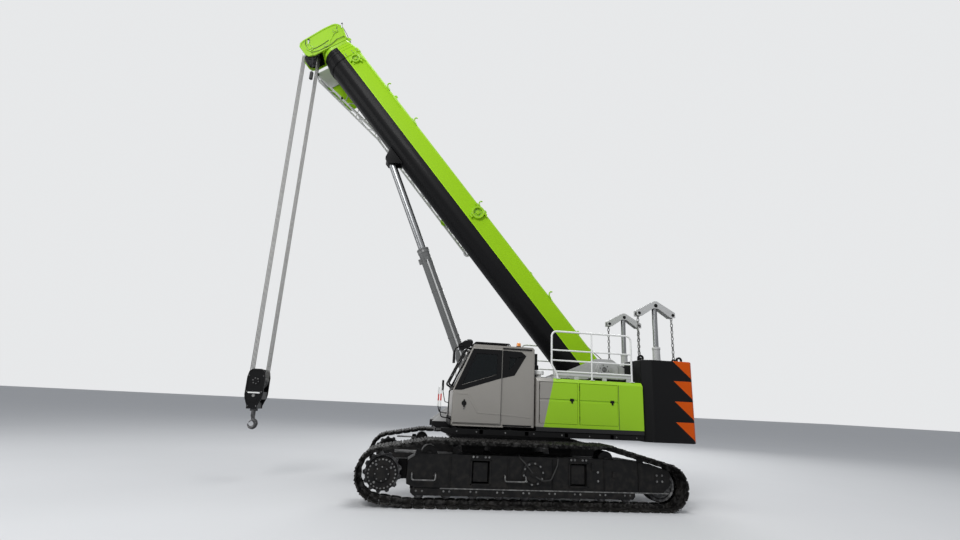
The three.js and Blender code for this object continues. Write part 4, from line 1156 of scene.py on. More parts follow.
fittings = Solid().use(black_paint)
for x, y, z in ((1.478, -1.43, 2.76), (-1.46, -1.4, 2.26)):
    fittings.prism([(x - 0.085, z - 0.13), (x + 0.012, z - 0.13), (x + 0.022, z - 0.11),
        (x + 0.022, z + 0.11), (x + 0.012, z + 0.13), (x - 0.085, z + 0.13), (x - 0.095, z + 0.11),
        (x - 0.095, z - 0.11)], "y", y - 0.035, y + 0.012)
fittings.use(mirror_glass)
for x, y, z in ((1.478, -1.43, 2.76), (-1.46, -1.4, 2.26)):
    fittings.box((x - 0.083, y + 0.01, z - 0.112), (x + 0.01, y + 0.018, z + 0.112))
for x in (0.66, 1.38):
    fittings.use(white_paint).box((x - 0.075, -1.672, 1.995), (x + 0.075, -1.648, 2.15))
    fittings.use(red_lens).box((x - 0.075, -1.674, 1.86), (x + 0.075, -1.646, 1.995))
    fittings.use(white_paint).box((x - 0.075, -1.672, 1.74), (x + 0.075, -1.648, 1.86))
for x in (0.74, 0.98, 1.22, 1.36):
    fittings.use(black_paint)
    fittings.turned((x, -1.045, 3.105), (0, -0.14, -0.025), [(0, 0.0), (0.0, 0.03), (0.03, 0.058),
        (0.09, 0.066), (0.118, 0.066), (0.118, 0.056), (0.108, 0.056), (0.108, 0.0)], 24)
    fittings.box((x - 0.012, -1.075, 3.03), (x + 0.012, -1.05, 3.075))
    fittings.use(clear_lens).turned((x, -1.153, 3.087), (0, -0.032, -0.006),
        [(0, 0.0), (0.0, 0.055), (0.008, 0.05), (0.014, 0.0)], 24)
fittings.use(black_paint)
fittings.turned((1.28, -0.02, 3.05), UPWARD, [(0, 0.055), (0.03, 0.055), (0.03, 0.0)], 24)
fittings.use(amber_lens)
fittings.turned((1.28, -0.02, 3.08), UPWARD, [(0, 0.048), (0.06, 0.045), (0.075, 0.03), (0.08, 0.0)], 24)
fittings.use(black_paint)
for x0, x1 in ((0.8, 1.05), (1.2, 1.1)):
    foot, tip = on_screen(0.03, 0.02), on_screen(0.56, 0.022)
    fittings.bar((x0, *foot), (x1, *tip), 0.007, 8)
    low, high = on_screen(0.34, 0.016), on_screen(0.8, 0.016)
    fittings.bar((x1, *low), (x1, *high), 0.009, 6)
fittings.prism([(-1.28, 2.9), (-1.08, 3.02), (-1.1, 3.1), (-1.22, 3.12), (-1.36, 3.02), (-1.34, 2.92)], "x",
    1.235, 1.435)
fittings.use(clear_lens).prism([(-1.352, 2.93), (-1.282, 2.905), (-1.29, 2.93), (-1.352, 2.955)], "x", 1.265,
    1.405)
fittings.done("cab_fittings", UPPER, "black_paint", bevel=0.003)

# %% [markdown]
# Inside, a suspension seat stands beside its console. Each pad starts as a block whose sides pull in
# between the corners, and subdivision rounds it, which looks stuffed without a simulation. Through the dark
# glass only an outline shows, but the cab door opens.

# %% Operator's seat and controls
def cushion(name, low, high, crown, lean=0.0):
    """A crowned pad between two corners, leaning back as it rises."""
    low, high = Vector(low), Vector(high)
    size, middle = high - low, (low + high) / 2
    steps = 8
    pad = bmesh.new()
    bmesh.ops.create_cube(pad, size=1.0)
    bmesh.ops.subdivide_edges(pad, edges=pad.edges, cuts=steps - 1, use_grid_fill=True)
    for vert in pad.verts:
        a, b, c = vert.co
        spread = (1 - (2 * a) ** 4) * (1 - (2 * b) ** 4) * (1 - (2 * c) ** 4)
        edge = max(abs(a), abs(b)) ** 6 * 64
        swell = 1 + crown * (1 - (2 * a) ** 2) * (1 - (2 * b if size.z < size.y else 2 * c) ** 2)
        pinch = 1 - 0.06 * (1 - spread) * min(1.0, edge)
        thin = swell * pinch if size.z < size.y else pinch
        deep = swell if size.z >= size.y else 1.0
        vert.co = middle + Vector((a * size.x * pinch, b * size.y * deep, c * size.z * thin))
        vert.co.y += lean * (vert.co.z - low.z)
    bmesh.ops.transform(pad, matrix=CRANE, verts=pad.verts)
    data = bpy.data.meshes.new(name)
    pad.to_mesh(data)
    pad.free()
    data.materials.append(seat_cloth)
    piece = show(name, data, UPPER, "seat_fabric", smooth=180)
    rounding = piece.modifiers.new("rounding", "SUBSURF")
    rounding.levels = rounding.render_levels = 1
    return piece


SEAT_X, CAB_FLOOR = 1.01, 1.461
cushion("seat_cushion", (SEAT_X - 0.24, -0.79, 1.745), (SEAT_X + 0.24, -0.3, 1.845), 0.18)
cushion("seat_back", (SEAT_X - 0.225, -0.325, 1.86), (SEAT_X + 0.225, -0.215, 2.44), 0.2, 0.26)
cushion("seat_headrest", (SEAT_X - 0.12, -0.155, 2.47), (SEAT_X + 0.12, -0.07, 2.66), 0.15, 0.05)
seat_base = Solid().use(black_paint)
seat_base.box((SEAT_X - 0.15, -0.62, CAB_FLOOR), (SEAT_X + 0.15, -0.3, CAB_FLOOR + 0.06))
for k in range(5):
    z = CAB_FLOOR + 0.06 + 0.03 * k
    seat_base.box((SEAT_X - 0.115, -0.585, z), (SEAT_X + 0.115, -0.335, z + 0.02))
    seat_base.box((SEAT_X - 0.1, -0.57, z + 0.02), (SEAT_X + 0.1, -0.35, z + 0.03))
seat_base.box((SEAT_X - 0.22, -0.76, 1.69), (SEAT_X + 0.22, -0.31, 1.735))
seat_base.prism([(-0.2, 1.72), (-0.17, 1.72), (0.0, 2.42), (-0.02, 2.42)], "x", SEAT_X - 0.2, SEAT_X + 0.2)
seat_base.bar((SEAT_X - 0.05, -0.055, 2.4), (SEAT_X - 0.05, -0.075, 2.56), 0.008, 8)
seat_base.bar((SEAT_X + 0.05, -0.055, 2.4), (SEAT_X + 0.05, -0.075, 2.56), 0.008, 8)
seat_base.done("seat_suspension", UPPER, "black_paint", bevel=0.006, replaces=("operator_seat",))
softened("control_console", black_paint, "black_paint", bevel=0.012)
controls = Solid().use(black_rubber)
controls.turned((0.685, -0.7, 2.012), UPWARD, [(0, 0.03), (0.02, 0.026), (0.05, 0.01), (0.13, 0.009),
    (0.14, 0.022), (0.19, 0.026), (0.21, 0.015), (0.212, 0.0)], 16)
controls.use(clear_lens).prism([(-1.242, 2.08), (-1.246, 2.08), (-1.246, 2.29), (-1.242, 2.29)], "x", 0.65,
    0.72)
controls.done("control_levers", UPPER, "black_paint", bevel=0.0)

# %% [markdown]
# ## Hoods
# The hoods are boxes of folded sheet, and their shell keeps its shape with softened folds. Each door is
# made new, because its pressed groove shows most: a section with the groove folded in is extruded along the
# door. Black latches sit at the groove's rear end, with hinges along the front edge.

# %% Hoods and their doors
HOOD_SIDE, DOOR_WALL, GROOVE_Z = 1.5, 0.04, 1.985
HOOD_DOORS = {"front": (0.4, 1.24), "rear": (1.28, 2.14)}


def door_section():
    inner, outer = HOOD_SIDE - DOOR_WALL, HOOD_SIDE
    return [(inner, 1.506), (outer, 1.506), (outer, GROOVE_Z - 0.028), (outer - 0.016, GROOVE_Z - 0.006),
        (outer - 0.016, GROOVE_Z + 0.016), (outer, GROOVE_Z + 0.02), (outer, 2.344), (inner, 2.344)]


for name, side in SIDES.items():
    softened(name + "_hood", hood_paint, "lime_paint", bevel=0.012, segments=3)
    place = mirrored(side)
    for where, (front, rear) in HOOD_DOORS.items():
        body = f"{name}_{where}_hood_door"
        door = Solid(place).use(hood_paint)
        door.prism(door_section(), "y", front + 0.014, rear - 0.006)
        door.use(black_paint)
        door.box((HOOD_SIDE - 0.018, rear - 0.165, GROOVE_Z - 0.012),
            (HOOD_SIDE + 0.01, rear - 0.085, GROOVE_Z + 0.04))
        door.box((HOOD_SIDE - 0.012, rear - 0.14, GROOVE_Z - 0.056),
            (HOOD_SIDE + 0.016, rear - 0.108, GROOVE_Z + 0.02))
        for z in (1.62, 2.24):
            door.bar((HOOD_SIDE, front + 0.006, z - 0.05), (HOOD_SIDE, front + 0.006, z + 0.05), 0.0055, 10)
        door.use(pale_grey_paint)
        door.box((HOOD_SIDE - DOOR_WALL - 0.006, front + 0.06, 1.56),
            (HOOD_SIDE - DOOR_WALL + 0.002, rear - 0.06, 1.6))
        door.box((HOOD_SIDE - DOOR_WALL - 0.006, front + 0.06, 2.25),
            (HOOD_SIDE - DOOR_WALL + 0.002, rear - 0.06, 2.29))
        door.done(body + "_panel", body, "lime_paint", bevel=0.004, replaces=(body,))
    rear_seam = Solid(place).use(black_rubber)
    rear_seam.box((HOOD_SIDE - 0.004, 2.156, 1.44), (HOOD_SIDE + 0.002, 2.166, 2.352))
    rear_seam.done(name + "_hood_seam", UPPER, "black_paint", bevel=0.0)

# %% [markdown]
# On the hoods lie louvred grilles, chequered walkways, the exhaust and the air cleaner. A loop of folded
# slats makes the louvres. Under the rail runs a pale toe board on short feet, with dark gaps below it.

# %% Hood tops
HOOD_TOP = 2.43
for name, side in SIDES.items():
    place = mirrored(side)
    top = Solid(place).use(pale_grey_paint)
    top.prism([(1.34, 2.5), (1.392, 2.5), (1.398, 2.512), (1.386, 2.606), (1.34, 2.61)], "y", 0.74, 2.54)
    top.box((0.62, 0.62, HOOD_TOP + 0.001), (1.33, 0.7, HOOD_TOP + 0.03))
    for y in (0.8, 1.26, 1.9, 2.46):
        top.box((1.345, y - 0.05, HOOD_TOP), (1.385, y + 0.05, 2.505))
    top.use(chassis_paint)
    top.box((0.66, 0.78, HOOD_TOP), (1.3, 2.5, HOOD_TOP + 0.018))
    for k in range(16):
        y = 1.62 + 0.052 * k
        top.prism([(y, HOOD_TOP + 0.018), (y + 0.012, HOOD_TOP + 0.018), (y + 0.046, HOOD_TOP + 0.05),
            (y + 0.036, HOOD_TOP + 0.052)], "x", 0.72, 1.24)
    for x in (0.7, 1.26):
        top.box((x - 0.02, 1.58, HOOD_TOP + 0.018), (x + 0.02, 2.48, HOOD_TOP + 0.058))
    top.done(name + "_hood_top", UPPER, "pale_grey_paint", bevel=0.003)
    studs = [((0.74 + 0.062 * i, 0.84 + 0.062 * k, HOOD_TOP + 0.018), UPWARD) for i in range(9)
        for k in range(11)]
    bolts(name + "_walkway_studs", studs, 0.01, UPPER, material=chassis_paint, place=place)

breathing = Solid().use(white_paint)
breathing.turned((1.16, 0.47, HOOD_TOP), UPWARD, [(0, 0.05), (0.07, 0.05), (0.075, 0.105), (0.085, 0.112),
    (0.15, 0.112), (0.165, 0.095), (0.175, 0.0)], 32)
breathing.use(chassis_paint)
breathing.turned((0.78, 0.48, HOOD_TOP), UPWARD, [(0, 0.085), (0.3, 0.085), (0.31, 0.06), (0.56, 0.06),
    (0.56, 0.052), (0.4, 0.052), (0.4, 0.0)], 28)
breathing.use(bolt_steel)
breathing.turned((0.78, 0.48, HOOD_TOP + 0.05), UPWARD, [(0, 0.088), (0.012, 0.088), (0.012, 0.08),
    (0, 0.08)], 28, closed=True)
breathing.done("exhaust_and_air_cleaner", UPPER, "black_paint", bevel=0.003)

# %% [markdown]
# Behind the doors sit the engine and the hydraulic tank, which the frame holds as plain blocks. They show
# only with a door open, so they get ribs, covers and pipes enough to read as machinery.

# %% Engine and hydraulic tank
engine = Solid().use(chassis_paint)
engine.box((0.7, 0.62, 1.345), (1.34, 1.9, 1.72))
engine.box((0.78, 0.66, 1.72), (1.26, 1.86, 2.02))
for k in range(6):
    y = 0.72 + 0.19 * k
    engine.box((0.8, y, 2.02), (1.24, y + 0.15, 2.1))
    engine.bar((1.26, y + 0.07, 1.92), (1.345, y + 0.07, 1.9), 0.026, 12)
engine.use(forged_steel).bar((1.335, 0.7, 1.9), (1.335, 1.86, 1.9), 0.032, 16)
engine.turned((1.2, 0.62, 1.6), FORWARD, [(0, 0.06), (0.02, 0.14), (0.05, 0.14), (0.05, 0.0)], 28)
engine.use(pale_grey_paint).bar((0.98, 0.8, 2.155), (0.98, 1.7, 2.155), 0.04, 16)
engine.done("engine_assembly", UPPER, "dark_steel", bevel=0.008, replaces=("engine_block",))
tank = Solid().use(black_paint)
tank.box((-1.375, 0.565, 1.345), (-0.645, 1.495, 2.12))
for y in (0.8, 1.03, 1.26):
    tank.box((-1.384, y - 0.02, 1.4), (-1.37, y + 0.02, 2.06))
tank.turned((-1.0, 0.8, 2.12), UPWARD, [(0, 0.075), (0.05, 0.075), (0.055, 0.06), (0.07, 0.0)], 24)
tank.use(clear_lens).box((-1.388, 0.64, 1.6), (-1.376, 0.68, 1.86))
tank.done("hydraulic_tank_shell", UPPER, "dark_steel", bevel=0.008, replaces=("hydraulic_tank",))

# %% [markdown]
# Opposite the cab stands the fuel tank with its filler, straps and step irons.

# %% Fuel tank
softened("fuel_tank", black_paint, "black_paint", bevel=0.03, segments=4)
fuel = Solid().use(forged_steel)
for y in (-0.75, -0.1):
    fuel.box((-1.428, y - 0.022, 1.345), (-1.42, y + 0.022, 2.06))
    fuel.box((-1.428, y - 0.022, 2.06), (-0.56, y + 0.022, 2.068))
fuel.turned((-1.22, -0.95, 2.06), UPWARD, [(0, 0.062), (0.035, 0.062), (0.04, 0.075), (0.075, 0.075),
    (0.085, 0.06), (0.086, 0.0)], 28)
fuel.use(clear_lens).box((-1.436, 0.1, 1.55), (-1.422, 0.14, 1.9))
fuel.use(chassis_paint)
fuel.box((-1.4, -1.15, 2.062), (-0.62, 0.28, 2.07))
fuel.done("fuel_tank_fittings", UPPER, "black_paint", bevel=0.003)
tubes("fuel_tank_steps", [[(x, -1.18, z), (x, -1.27, z), (x + 0.36, -1.27, z), (x + 0.36, -1.18, z)] for x,
    z in ((-1.2, 1.46), (-1.2, 1.78))] + [[(-1.36, -1.1, 2.05), (-1.36, -1.1, 2.75), (-1.36, -0.3, 2.75),
    (-1.36, -0.3, 2.05)]], 0.014, white_paint, UPPER, "white_paint", bend=0.05)

# %% [markdown]
# ## Guard rails
# The rail on each hood is one run of round tube with bent corners, plus three inner rails and a post. The
# solid's corners are mitred, so the bent rail takes its place.

# %% Guard rails
RAIL_X, RAIL_R, RAIL_FRONT, RAIL_REAR, RAIL_TOP = 1.41, 0.021, 0.69, 2.52, 3.45
for name, side in SIDES.items():
    foot = HOOD_TOP + 0.002
    outer = [(RAIL_X, RAIL_FRONT + 0.14, foot), (RAIL_X, RAIL_FRONT + 0.12, foot + 0.1),
        (RAIL_X, RAIL_FRONT, foot + 0.3), (RAIL_X, RAIL_FRONT, RAIL_TOP), (RAIL_X, RAIL_REAR, RAIL_TOP),
        (RAIL_X, RAIL_REAR, foot)]
    inner = [[(RAIL_X, RAIL_FRONT, z), (RAIL_X, RAIL_REAR, z)] for z in (2.82, 3.04)]
    inner += [[(RAIL_X, RAIL_FRONT + 0.1, foot + 0.155), (RAIL_X, RAIL_REAR, foot + 0.155)],
        [(RAIL_X, 1.6, foot), (RAIL_X, 1.6, RAIL_TOP)]]
    tubes(name + "_rail_frame", [outer], RAIL_R, white_paint, UPPER, "white_paint", bend=0.11, sides=14,
        place=mirrored(side), replaces=(name + "_handrail",))
    tubes(name + "_rail_bars", inner, RAIL_R * 0.8, white_paint, UPPER, "white_paint", sides=12,
        place=mirrored(side))
    feet = Solid(mirrored(side)).use(white_paint)
    for y in (RAIL_FRONT + 0.14, 1.6, RAIL_REAR):
        feet.box((RAIL_X - 0.045, y - 0.045, HOOD_TOP), (RAIL_X + 0.045, y + 0.045, HOOD_TOP + 0.012))
    feet.done(name + "_rail_feet", UPPER, "white_paint", bevel=0.002)

# %% [markdown]
# ## Counterweight
# The counterweight is a stack of cast slabs behind the winches, painted black with orange teeth. The joints
# between slabs are thin dark lines, and lifting eyes and rear lamps sit on it.

# %% Counterweight
WEIGHT_FRONT, WEIGHT_REAR, WEIGHT_TOP, WEIGHT_BOTTOM = 2.75, 3.93, 2.95, 1.205
softened("counterweight", weight_paint, "black_paint", bevel=0.02, segments=3)
casting = Solid().use(chassis_paint)
for side in (-1, 1):
    x0, x1 = side * 1.495, side * 1.5015
    casting.box((x0, WEIGHT_FRONT + 0.205, WEIGHT_BOTTOM + 0.02), (x1, WEIGHT_FRONT + 0.215,
        WEIGHT_TOP - 0.02))
    for z in (1.55, 1.95, 2.35):
        x2, x3 = side * 0.95, side * 1.3
        casting.box((x2, WEIGHT_REAR - 0.01, z), (x3, WEIGHT_REAR + 0.004, z + 0.008))
for z in (1.55, 1.95, 2.35, 2.75):
    casting.box((-1.43, WEIGHT_REAR - 0.008, z), (1.43, WEIGHT_REAR + 0.002, z + 0.01))
for side in (-1, 1):
    for y in (2.86, 3.8):
        x = side * 1.18
        casting.turned((x - 0.02, y, WEIGHT_TOP + 0.055), ACROSS, [(0, 0.035), (0, 0.075), (0.04, 0.075),
            (0.04, 0.035)], 24, closed=True)
        casting.box((x - 0.02, y - 0.07, WEIGHT_TOP - 0.005), (x + 0.02, y + 0.07, WEIGHT_TOP + 0.02))
    casting.use(red_lens)
    casting.turned((side * 1.1, WEIGHT_REAR - 0.004, 1.36), REARWARD,
        [(0, 0.0), (0, 0.052), (0.012, 0.05), (0.02, 0.04), (0.024, 0.0)], 24)
    casting.use(chassis_paint)
casting.done("counterweight_fittings", UPPER, "black_paint", bevel=0.002)

# %% [markdown]
# A lifting chain's link is an oval ring. A tree lays links along a run and turns every second one by a
# right angle, which is how a chain hangs.

# %% Chain tree
def link_chain_tree():
    tree = Tree("link_chain")
    link = tree.input("Link", "Object")
    pitch = tree.input("Pitch", "Float", 0.06)
    material = tree.input("Material", "Material")
    run = tree.node("GeometryNodeMeshToCurve", {"Mesh": tree.start.outputs["Geometry"]})
    points = tree.node("GeometryNodeCurveToPoints", {"Curve": run, "Length": pitch}, mode="LENGTH")
    index = tree.node("GeometryNodeInputIndex")
    odd = tree.node("ShaderNodeMath", {0: index, 1: 2.0}, operation="MODULO")
    quarter = tree.node("ShaderNodeMath", {0: odd, 1: math.pi / 2}, operation="MULTIPLY")
    spin = tree.node("ShaderNodeCombineXYZ", {"Z": quarter})
    turn = tree.node("FunctionNodeRotateRotation", {"Rotation": points.node.outputs["Rotation"],
        "Rotate By": spin}, rotation_space="LOCAL")
    one = tree.node("GeometryNodeObjectInfo", {"Object": link}, output="Geometry")
    laid = tree.node("GeometryNodeInstanceOnPoints", {"Points": points, "Instance": one, "Rotation": turn})
    return tree.finish(laid, material)


def chain_link(length, width, radius):
    """An oval ring, long along Z."""
    link = Solid(Matrix.Identity(4))
    straight = length / 2 - width / 2
    rings = []
    for k in range(12):
        angle = CIRCLE * k / 12
        out = Vector((cos(angle), 0, sin(angle)))
        centre = out * (width / 2 - radius) + Vector((0, 0, math.copysign(straight, sin(angle + 0.001))))
        rings.append([centre + (out * cos(a) + Vector((0, 1, 0)) * sin(a)) * radius
            for a in (CIRCLE * m / 6 for m in range(6))])
    link.rings(rings, closed=True)
    return link.baked("one_link")


# %% [markdown]
# Each weight lift is a cylinder under a house-shaped yoke of two plates, with a pin at every corner and a
# chain below either arm. It is drawn about its own upright line and placed once a side.

# %% Weight lifts
LIFT_AT = Matrix.Translation((0.87, 3.42, 0))
YOKE_ARM, ARM_Z, APEX = 0.43, 4.115, 4.42
CHAINS = link_chain_tree()
link_model = placed("one_link", chain_link(0.105, 0.072, 0.011))
for name, side in SIDES.items():
    place = mirrored(side) @ LIFT_AT
    lift = Solid(place).use(pale_grey_paint)
    shape = both_halves([(0.035, APEX), (YOKE_ARM + 0.06, ARM_Z + 0.05), (YOKE_ARM + 0.06, ARM_Z - 0.075),
        (YOKE_ARM - 0.07, ARM_Z - 0.075), (0.065, APEX - 0.18)])
    for x0, x1 in ((-0.09, -0.066), (0.066, 0.09)):
        lift.prism(shape, "x", x0, x1)
    for arm in (-1, 1):
        lift.prism([(arm * 0.1, APEX - 0.115), (arm * (YOKE_ARM + 0.02), ARM_Z + 0.055),
            (arm * (YOKE_ARM + 0.02), ARM_Z + 0.035), (arm * 0.1, APEX - 0.135)], "x", -0.068, 0.068)
    lift.turned((0, 0, WEIGHT_TOP), UPWARD, [(0, 0.13), (0.045, 0.13), (0.055, 0.12), (0.06, 0.09),
        (0.3, 0.086), (0.31, 0.096), (0.36, 0.096), (0.37, 0.075), (0.37, 0.0)], 32)
    lift.use(chassis_paint)
    for y, z, radius in ((0, APEX - 0.11, 0.045), (-YOKE_ARM, ARM_Z - 0.012, 0.038),
            (YOKE_ARM, ARM_Z - 0.012, 0.038)):
        lift.turned((-0.102, y, z), ACROSS, [(0, radius * 0.8), (0.004, radius), (0.2, radius),
            (0.204, radius * 0.8)], 24)
    for arm in (-1, 1):
        lift.box((-0.045, arm * YOKE_ARM - 0.05, WEIGHT_TOP), (0.045, arm * YOKE_ARM + 0.05,
            WEIGHT_TOP + 0.02))
        lift.turned((-0.018, arm * YOKE_ARM, WEIGHT_TOP + 0.058), ACROSS,
            [(0, 0.022), (0, 0.055), (0.036, 0.055), (0.036, 0.022)], 20, closed=True)
    lift.use(chrome).bar((0, 0, 3.3), (0, 0, APEX - 0.125), 0.062, 32)
    lift.done(name + "_weight_lift", UPPER, "pale_grey_paint", bevel=0.004,
        replaces=(name + "_counterweight_lift",))
    runs = [[(0, arm * YOKE_ARM, ARM_Z - 0.09), (0, arm * YOKE_ARM, WEIGHT_TOP + 0.12)] for arm in (-1, 1)]
    chains = grow(CHAINS, lines_mesh(name, runs, place), Link=link_model, Pitch=0.079, Material=bolt_steel)
    show(name + "_lifting_chains", chains, UPPER, "forged_steel")
    bolts(name + "_lift_bolts", bolt_ring((0, 0, WEIGHT_TOP + 0.05), UPWARD, 0.108, 8), 0.011, UPPER,
        place=place)
bpy.data.objects.remove(link_model)
print("counterweight hung on four chains")

# %% [markdown]
# ## Boom sections
# Only the base section shows at length, lime above and black on its rounded belly. All five keep the
# frame's shapes, since each has to run inside the next, and take softened edges. From here on a point is
# given in the boom's frame: across, minus the distance along, and height above the foot pin.

# %% Boom sections
softened("boom_base_section", boom_paint, "lime_paint", bevel=0.012, segments=3)
for number in range(2, 6):
    softened(f"boom_section_{number}", lime_paint if number > 4 else boom_paint, "lime_paint", bevel=0.008)

BOOM_HALF, BOOM_TOP, BOOM_BELLY = 0.4, 0.1, -0.8
BOOM_END = 10.5


def boom_outline(grow, s, steps=12):
    """The boom's section grown outward by an amount, at a distance along."""
    half, top, belly = BOOM_HALF + grow, BOOM_TOP + grow, BOOM_BELLY - grow
    spring = BOOM_BELLY + 0.9 * BOOM_HALF
    arc = [(-half * cos(math.pi * k / steps), spring - (spring - belly) * sin(math.pi * k / steps))
        for k in range(steps + 1)]
    corner = [(half, top - 0.05), (half - 0.05, top), (0.05 - half, top), (-half, top - 0.05)]
    return [(x, -s, t) for x, t in arc + corner]


def boom_band(solid, s0, s1, proud, sunk=0.004):
    """A flat hoop round the boom between two distances along."""
    solid.rings([boom_outline(-sunk, s0), boom_outline(proud, s0), boom_outline(proud, s1),
        boom_outline(-sunk, s1)], closed=True)


hoops = Solid(BOOM).use(boom_paint)
boom_band(hoops, BOOM_END - 0.13, BOOM_END - 0.004, 0.014)
boom_band(hoops, BOOM_END - 0.15, BOOM_END - 0.134, 0.008)
boom_band(hoops, -0.246, -0.15, 0.006)
for side in (-1, 1):
    x0, x1 = side * (BOOM_HALF - 0.004), side * (BOOM_HALF + 0.01)
    hoops.box((x0, -(BOOM_END - 0.16), BOOM_TOP - 0.085), (x1, -(BOOM_END - 2.1), BOOM_TOP - 0.06))
hoops.done("boom_hoops", "boom_base", "lime_paint", bevel=0.004)

# %% [markdown]
# Small steelwork stands on the base section: round flanges on its sides, wear-pad adjusters behind the
# front collar, rope guides and curved horns along its crown, and eyes for lifting the boom off.

# %% Boom fittings
fittings = Solid(BOOM).use(lime_paint)
flange_bolts, adjusters = [], []
for side in (-1, 1):
    face = side * BOOM_HALF
    for s, t, radius, reach in ((10.2, -0.155, 0.12, 0.07), (4.907, -0.07, 0.165, 0.085)):
        out = Vector((side, 0, 0))
        start = Vector((face - side * 0.004, -s, t))
        fittings.turned(start, (side, 0, 0), [(0, radius), (reach - 0.006, radius), (reach, radius - 0.006),
            (reach, radius * 0.74), (reach - 0.006, radius * 0.7), (0.022, radius * 0.68),
            (0.022, radius * 0.35), (reach * 0.7, radius * 0.3), (reach * 0.7, 0)], 36)
        flange_bolts += bolt_ring((face + side * 0.018, -s, t), out, radius * 0.52, 6)
        x0, x1 = face, face + side * reach * 0.9
        for turn in (35, 150, 265):
            a = radians(turn)
            y, z = -s + cos(a) * radius * 1.25, t + sin(a) * radius * 1.25
            fittings.prism([(y - 0.045, z - 0.02), (y + 0.045, z - 0.02), (y + 0.03, z + 0.03),
                (y - 0.03, z + 0.03)], "x", x0, x1)
    x0, x1 = face, face + side * 0.03
    fittings.prism([(-10.36, -0.02), (-10.1, 0.045), (-10.02, 0.045), (-10.02, 0.02), (-10.3, -0.06)], "x",
        x0, x1)
    fittings.prism([(-10.33, -0.235), (-10.33, -0.285), (-10.08, -0.285), (-10.08, -0.26), (-10.22, -0.235)],
        "x", x0, x1)
    adjusters += [((face + side * 0.012, -s, t), (side, 0, 0)) for s in (10.4, 10.46)
        for t in (-0.1, 0.02, -0.3)]
    adjusters += [((side * x, -10.435, BOOM_TOP + 0.014), UPWARD) for x in (0.1, 0.18, 0.26, 0.33)]
for s in (1.0, 4.9, 8.9):
    for x in (-0.075, 0.06):
        fittings.prism([(-s - 0.085, BOOM_TOP - 0.002), (-s + 0.085, BOOM_TOP - 0.002), (-s + 0.04, 0.262),
            (-s - 0.04, 0.262)], "x", x, x + 0.015)
for s in (2.9, 8.05):
    for x in (-0.2, 0.18):
        fittings.prism([(-s - 0.07, BOOM_TOP - 0.002), (-s + 0.07, BOOM_TOP - 0.002), (-s + 0.035, 0.175),
            (-s - 0.035, 0.175)], "x", x, x + 0.02)
fittings.use(bolt_steel)
for s in (1.0, 4.9, 8.9):
    fittings.turned((-0.06, -s, 0.222), ACROSS, [(0, 0.03), (0.01, 0.03), (0.03, 0.02), (0.09, 0.02),
        (0.11, 0.03), (0.12, 0.03)], 20)
fittings.done("boom_fittings", "boom_base", "lime_paint", bevel=0.003)
tubes("boom_horns", [[(0.385, -s + 0.16, 0.08), (0.392, -s + 0.02, 0.105), (0.385, -s - 0.03, 0.185),
    (0.372, -s + 0.01, 0.225)] for s in (2.217, 5.107, 7.927, 9.139)], 0.018, lime_paint, "boom_base",
    "lime_paint", bend=0.05, place=BOOM)
bolts("boom_flange_bolts", flange_bolts, 0.008, "boom_base", place=BOOM)
bolts("boom_pad_adjusters", adjusters, 0.011, "boom_base", place=BOOM)

# %% [markdown]
# ## Boom head
# Sheaves hang between the head's two deep cheeks. They are turned with a real groove, a thin web and a hub,
# because a plain disc would look like a coin.

# %% Sheaves
def sheave_row(solid, centre, radius, count, pitch):
    """Grooved sheaves side by side across the machine."""
    half = [(0.0, radius - 0.026), (0.011, radius - 0.024), (0.025, radius), (0.034, radius),
        (0.036, radius - 0.04), (0.014, radius - 0.055), (0.014, radius * 0.4), (0.034, radius * 0.34),
        (0.034, 0.0)]
    profile = [(-offset, reach) for offset, reach in half[:0:-1]] + half
    x, y, z = centre
    for k in range(count):
        middle = x + (k - (count - 1) / 2) * pitch
        solid.turned((middle, y, z), ACROSS, profile, 36)


FALLS_S, FALLS_T, GUIDE_S, GUIDE_T = 11.15, -0.95, 11.29, -0.09
HEAD_HALF, HEAD_PLATE = 0.3, 0.03
for name, s, t, radius, count, pitch in (("head_sheaves", FALLS_S, FALLS_T, 0.2, 4, 0.092),
        ("guide_sheaves", GUIDE_S, GUIDE_T, 0.17, 2, 0.15)):
    wheel = Solid(BOOM).use(forged_steel)
    sheave_row(wheel, (0, -s, t), radius, count, pitch)
    wheel.use(bolt_steel).bar((-0.262, -s, t), (0.262, -s, t), 0.05, 24)
    wheel.done(name + "_grooved", "boom_section_5", "forged_steel", bevel=0.002, replaces=(name,))

# %% [markdown]
# A front plate follows the cheeks' nose, a raised rim stiffens each cheek, and every axle ends in a bolted
# cap. All of it is flat plate, so outlines extruded across the head are enough.

# %% Head
CHEEK = [(-10.912, 0.04), (-11.24, 0.14), (-11.35, 0.134), (-11.43, 0.095), (-11.48, 0.03), (-11.5, -0.06),
    (-11.5, -0.33), (-11.44, -0.98), (-11.41, -1.08), (-11.33, -1.15), (-11.06, -1.15), (-10.97, -1.11),
    (-10.912, -0.96)]
NOSE = CHEEK[1:8]
head = Solid(BOOM).use(lime_paint)
for side in (-1, 1):
    inner, outer = side * (HEAD_HALF - HEAD_PLATE), side * HEAD_HALF
    head.prism(CHEEK, "x", inner, outer)
    frame_band(CHEEK, 0.036, side * (HEAD_HALF - 0.002), side * (HEAD_HALF + 0.012), head)
    head.prism([(-10.96, -0.52), (-11.12, -0.4), (-11.3, -0.1), (-11.28, -0.07), (-11.08, -0.37),
        (-10.96, -0.48)], "x", side * (HEAD_HALF - 0.002), side * (HEAD_HALF + 0.014))
    for s, t, radius in ((FALLS_S, FALLS_T, 0.095), (GUIDE_S, GUIDE_T, 0.075), (11.0, -0.56, 0.06)):
        start = Vector((side * HEAD_HALF, -s, t))
        head.turned(start, (side, 0, 0), [(-0.01, radius), (0.014, radius), (0.018, radius - 0.006),
            (0.018, radius * 0.55), (0.032, radius * 0.5), (0.032, 0)], 32)
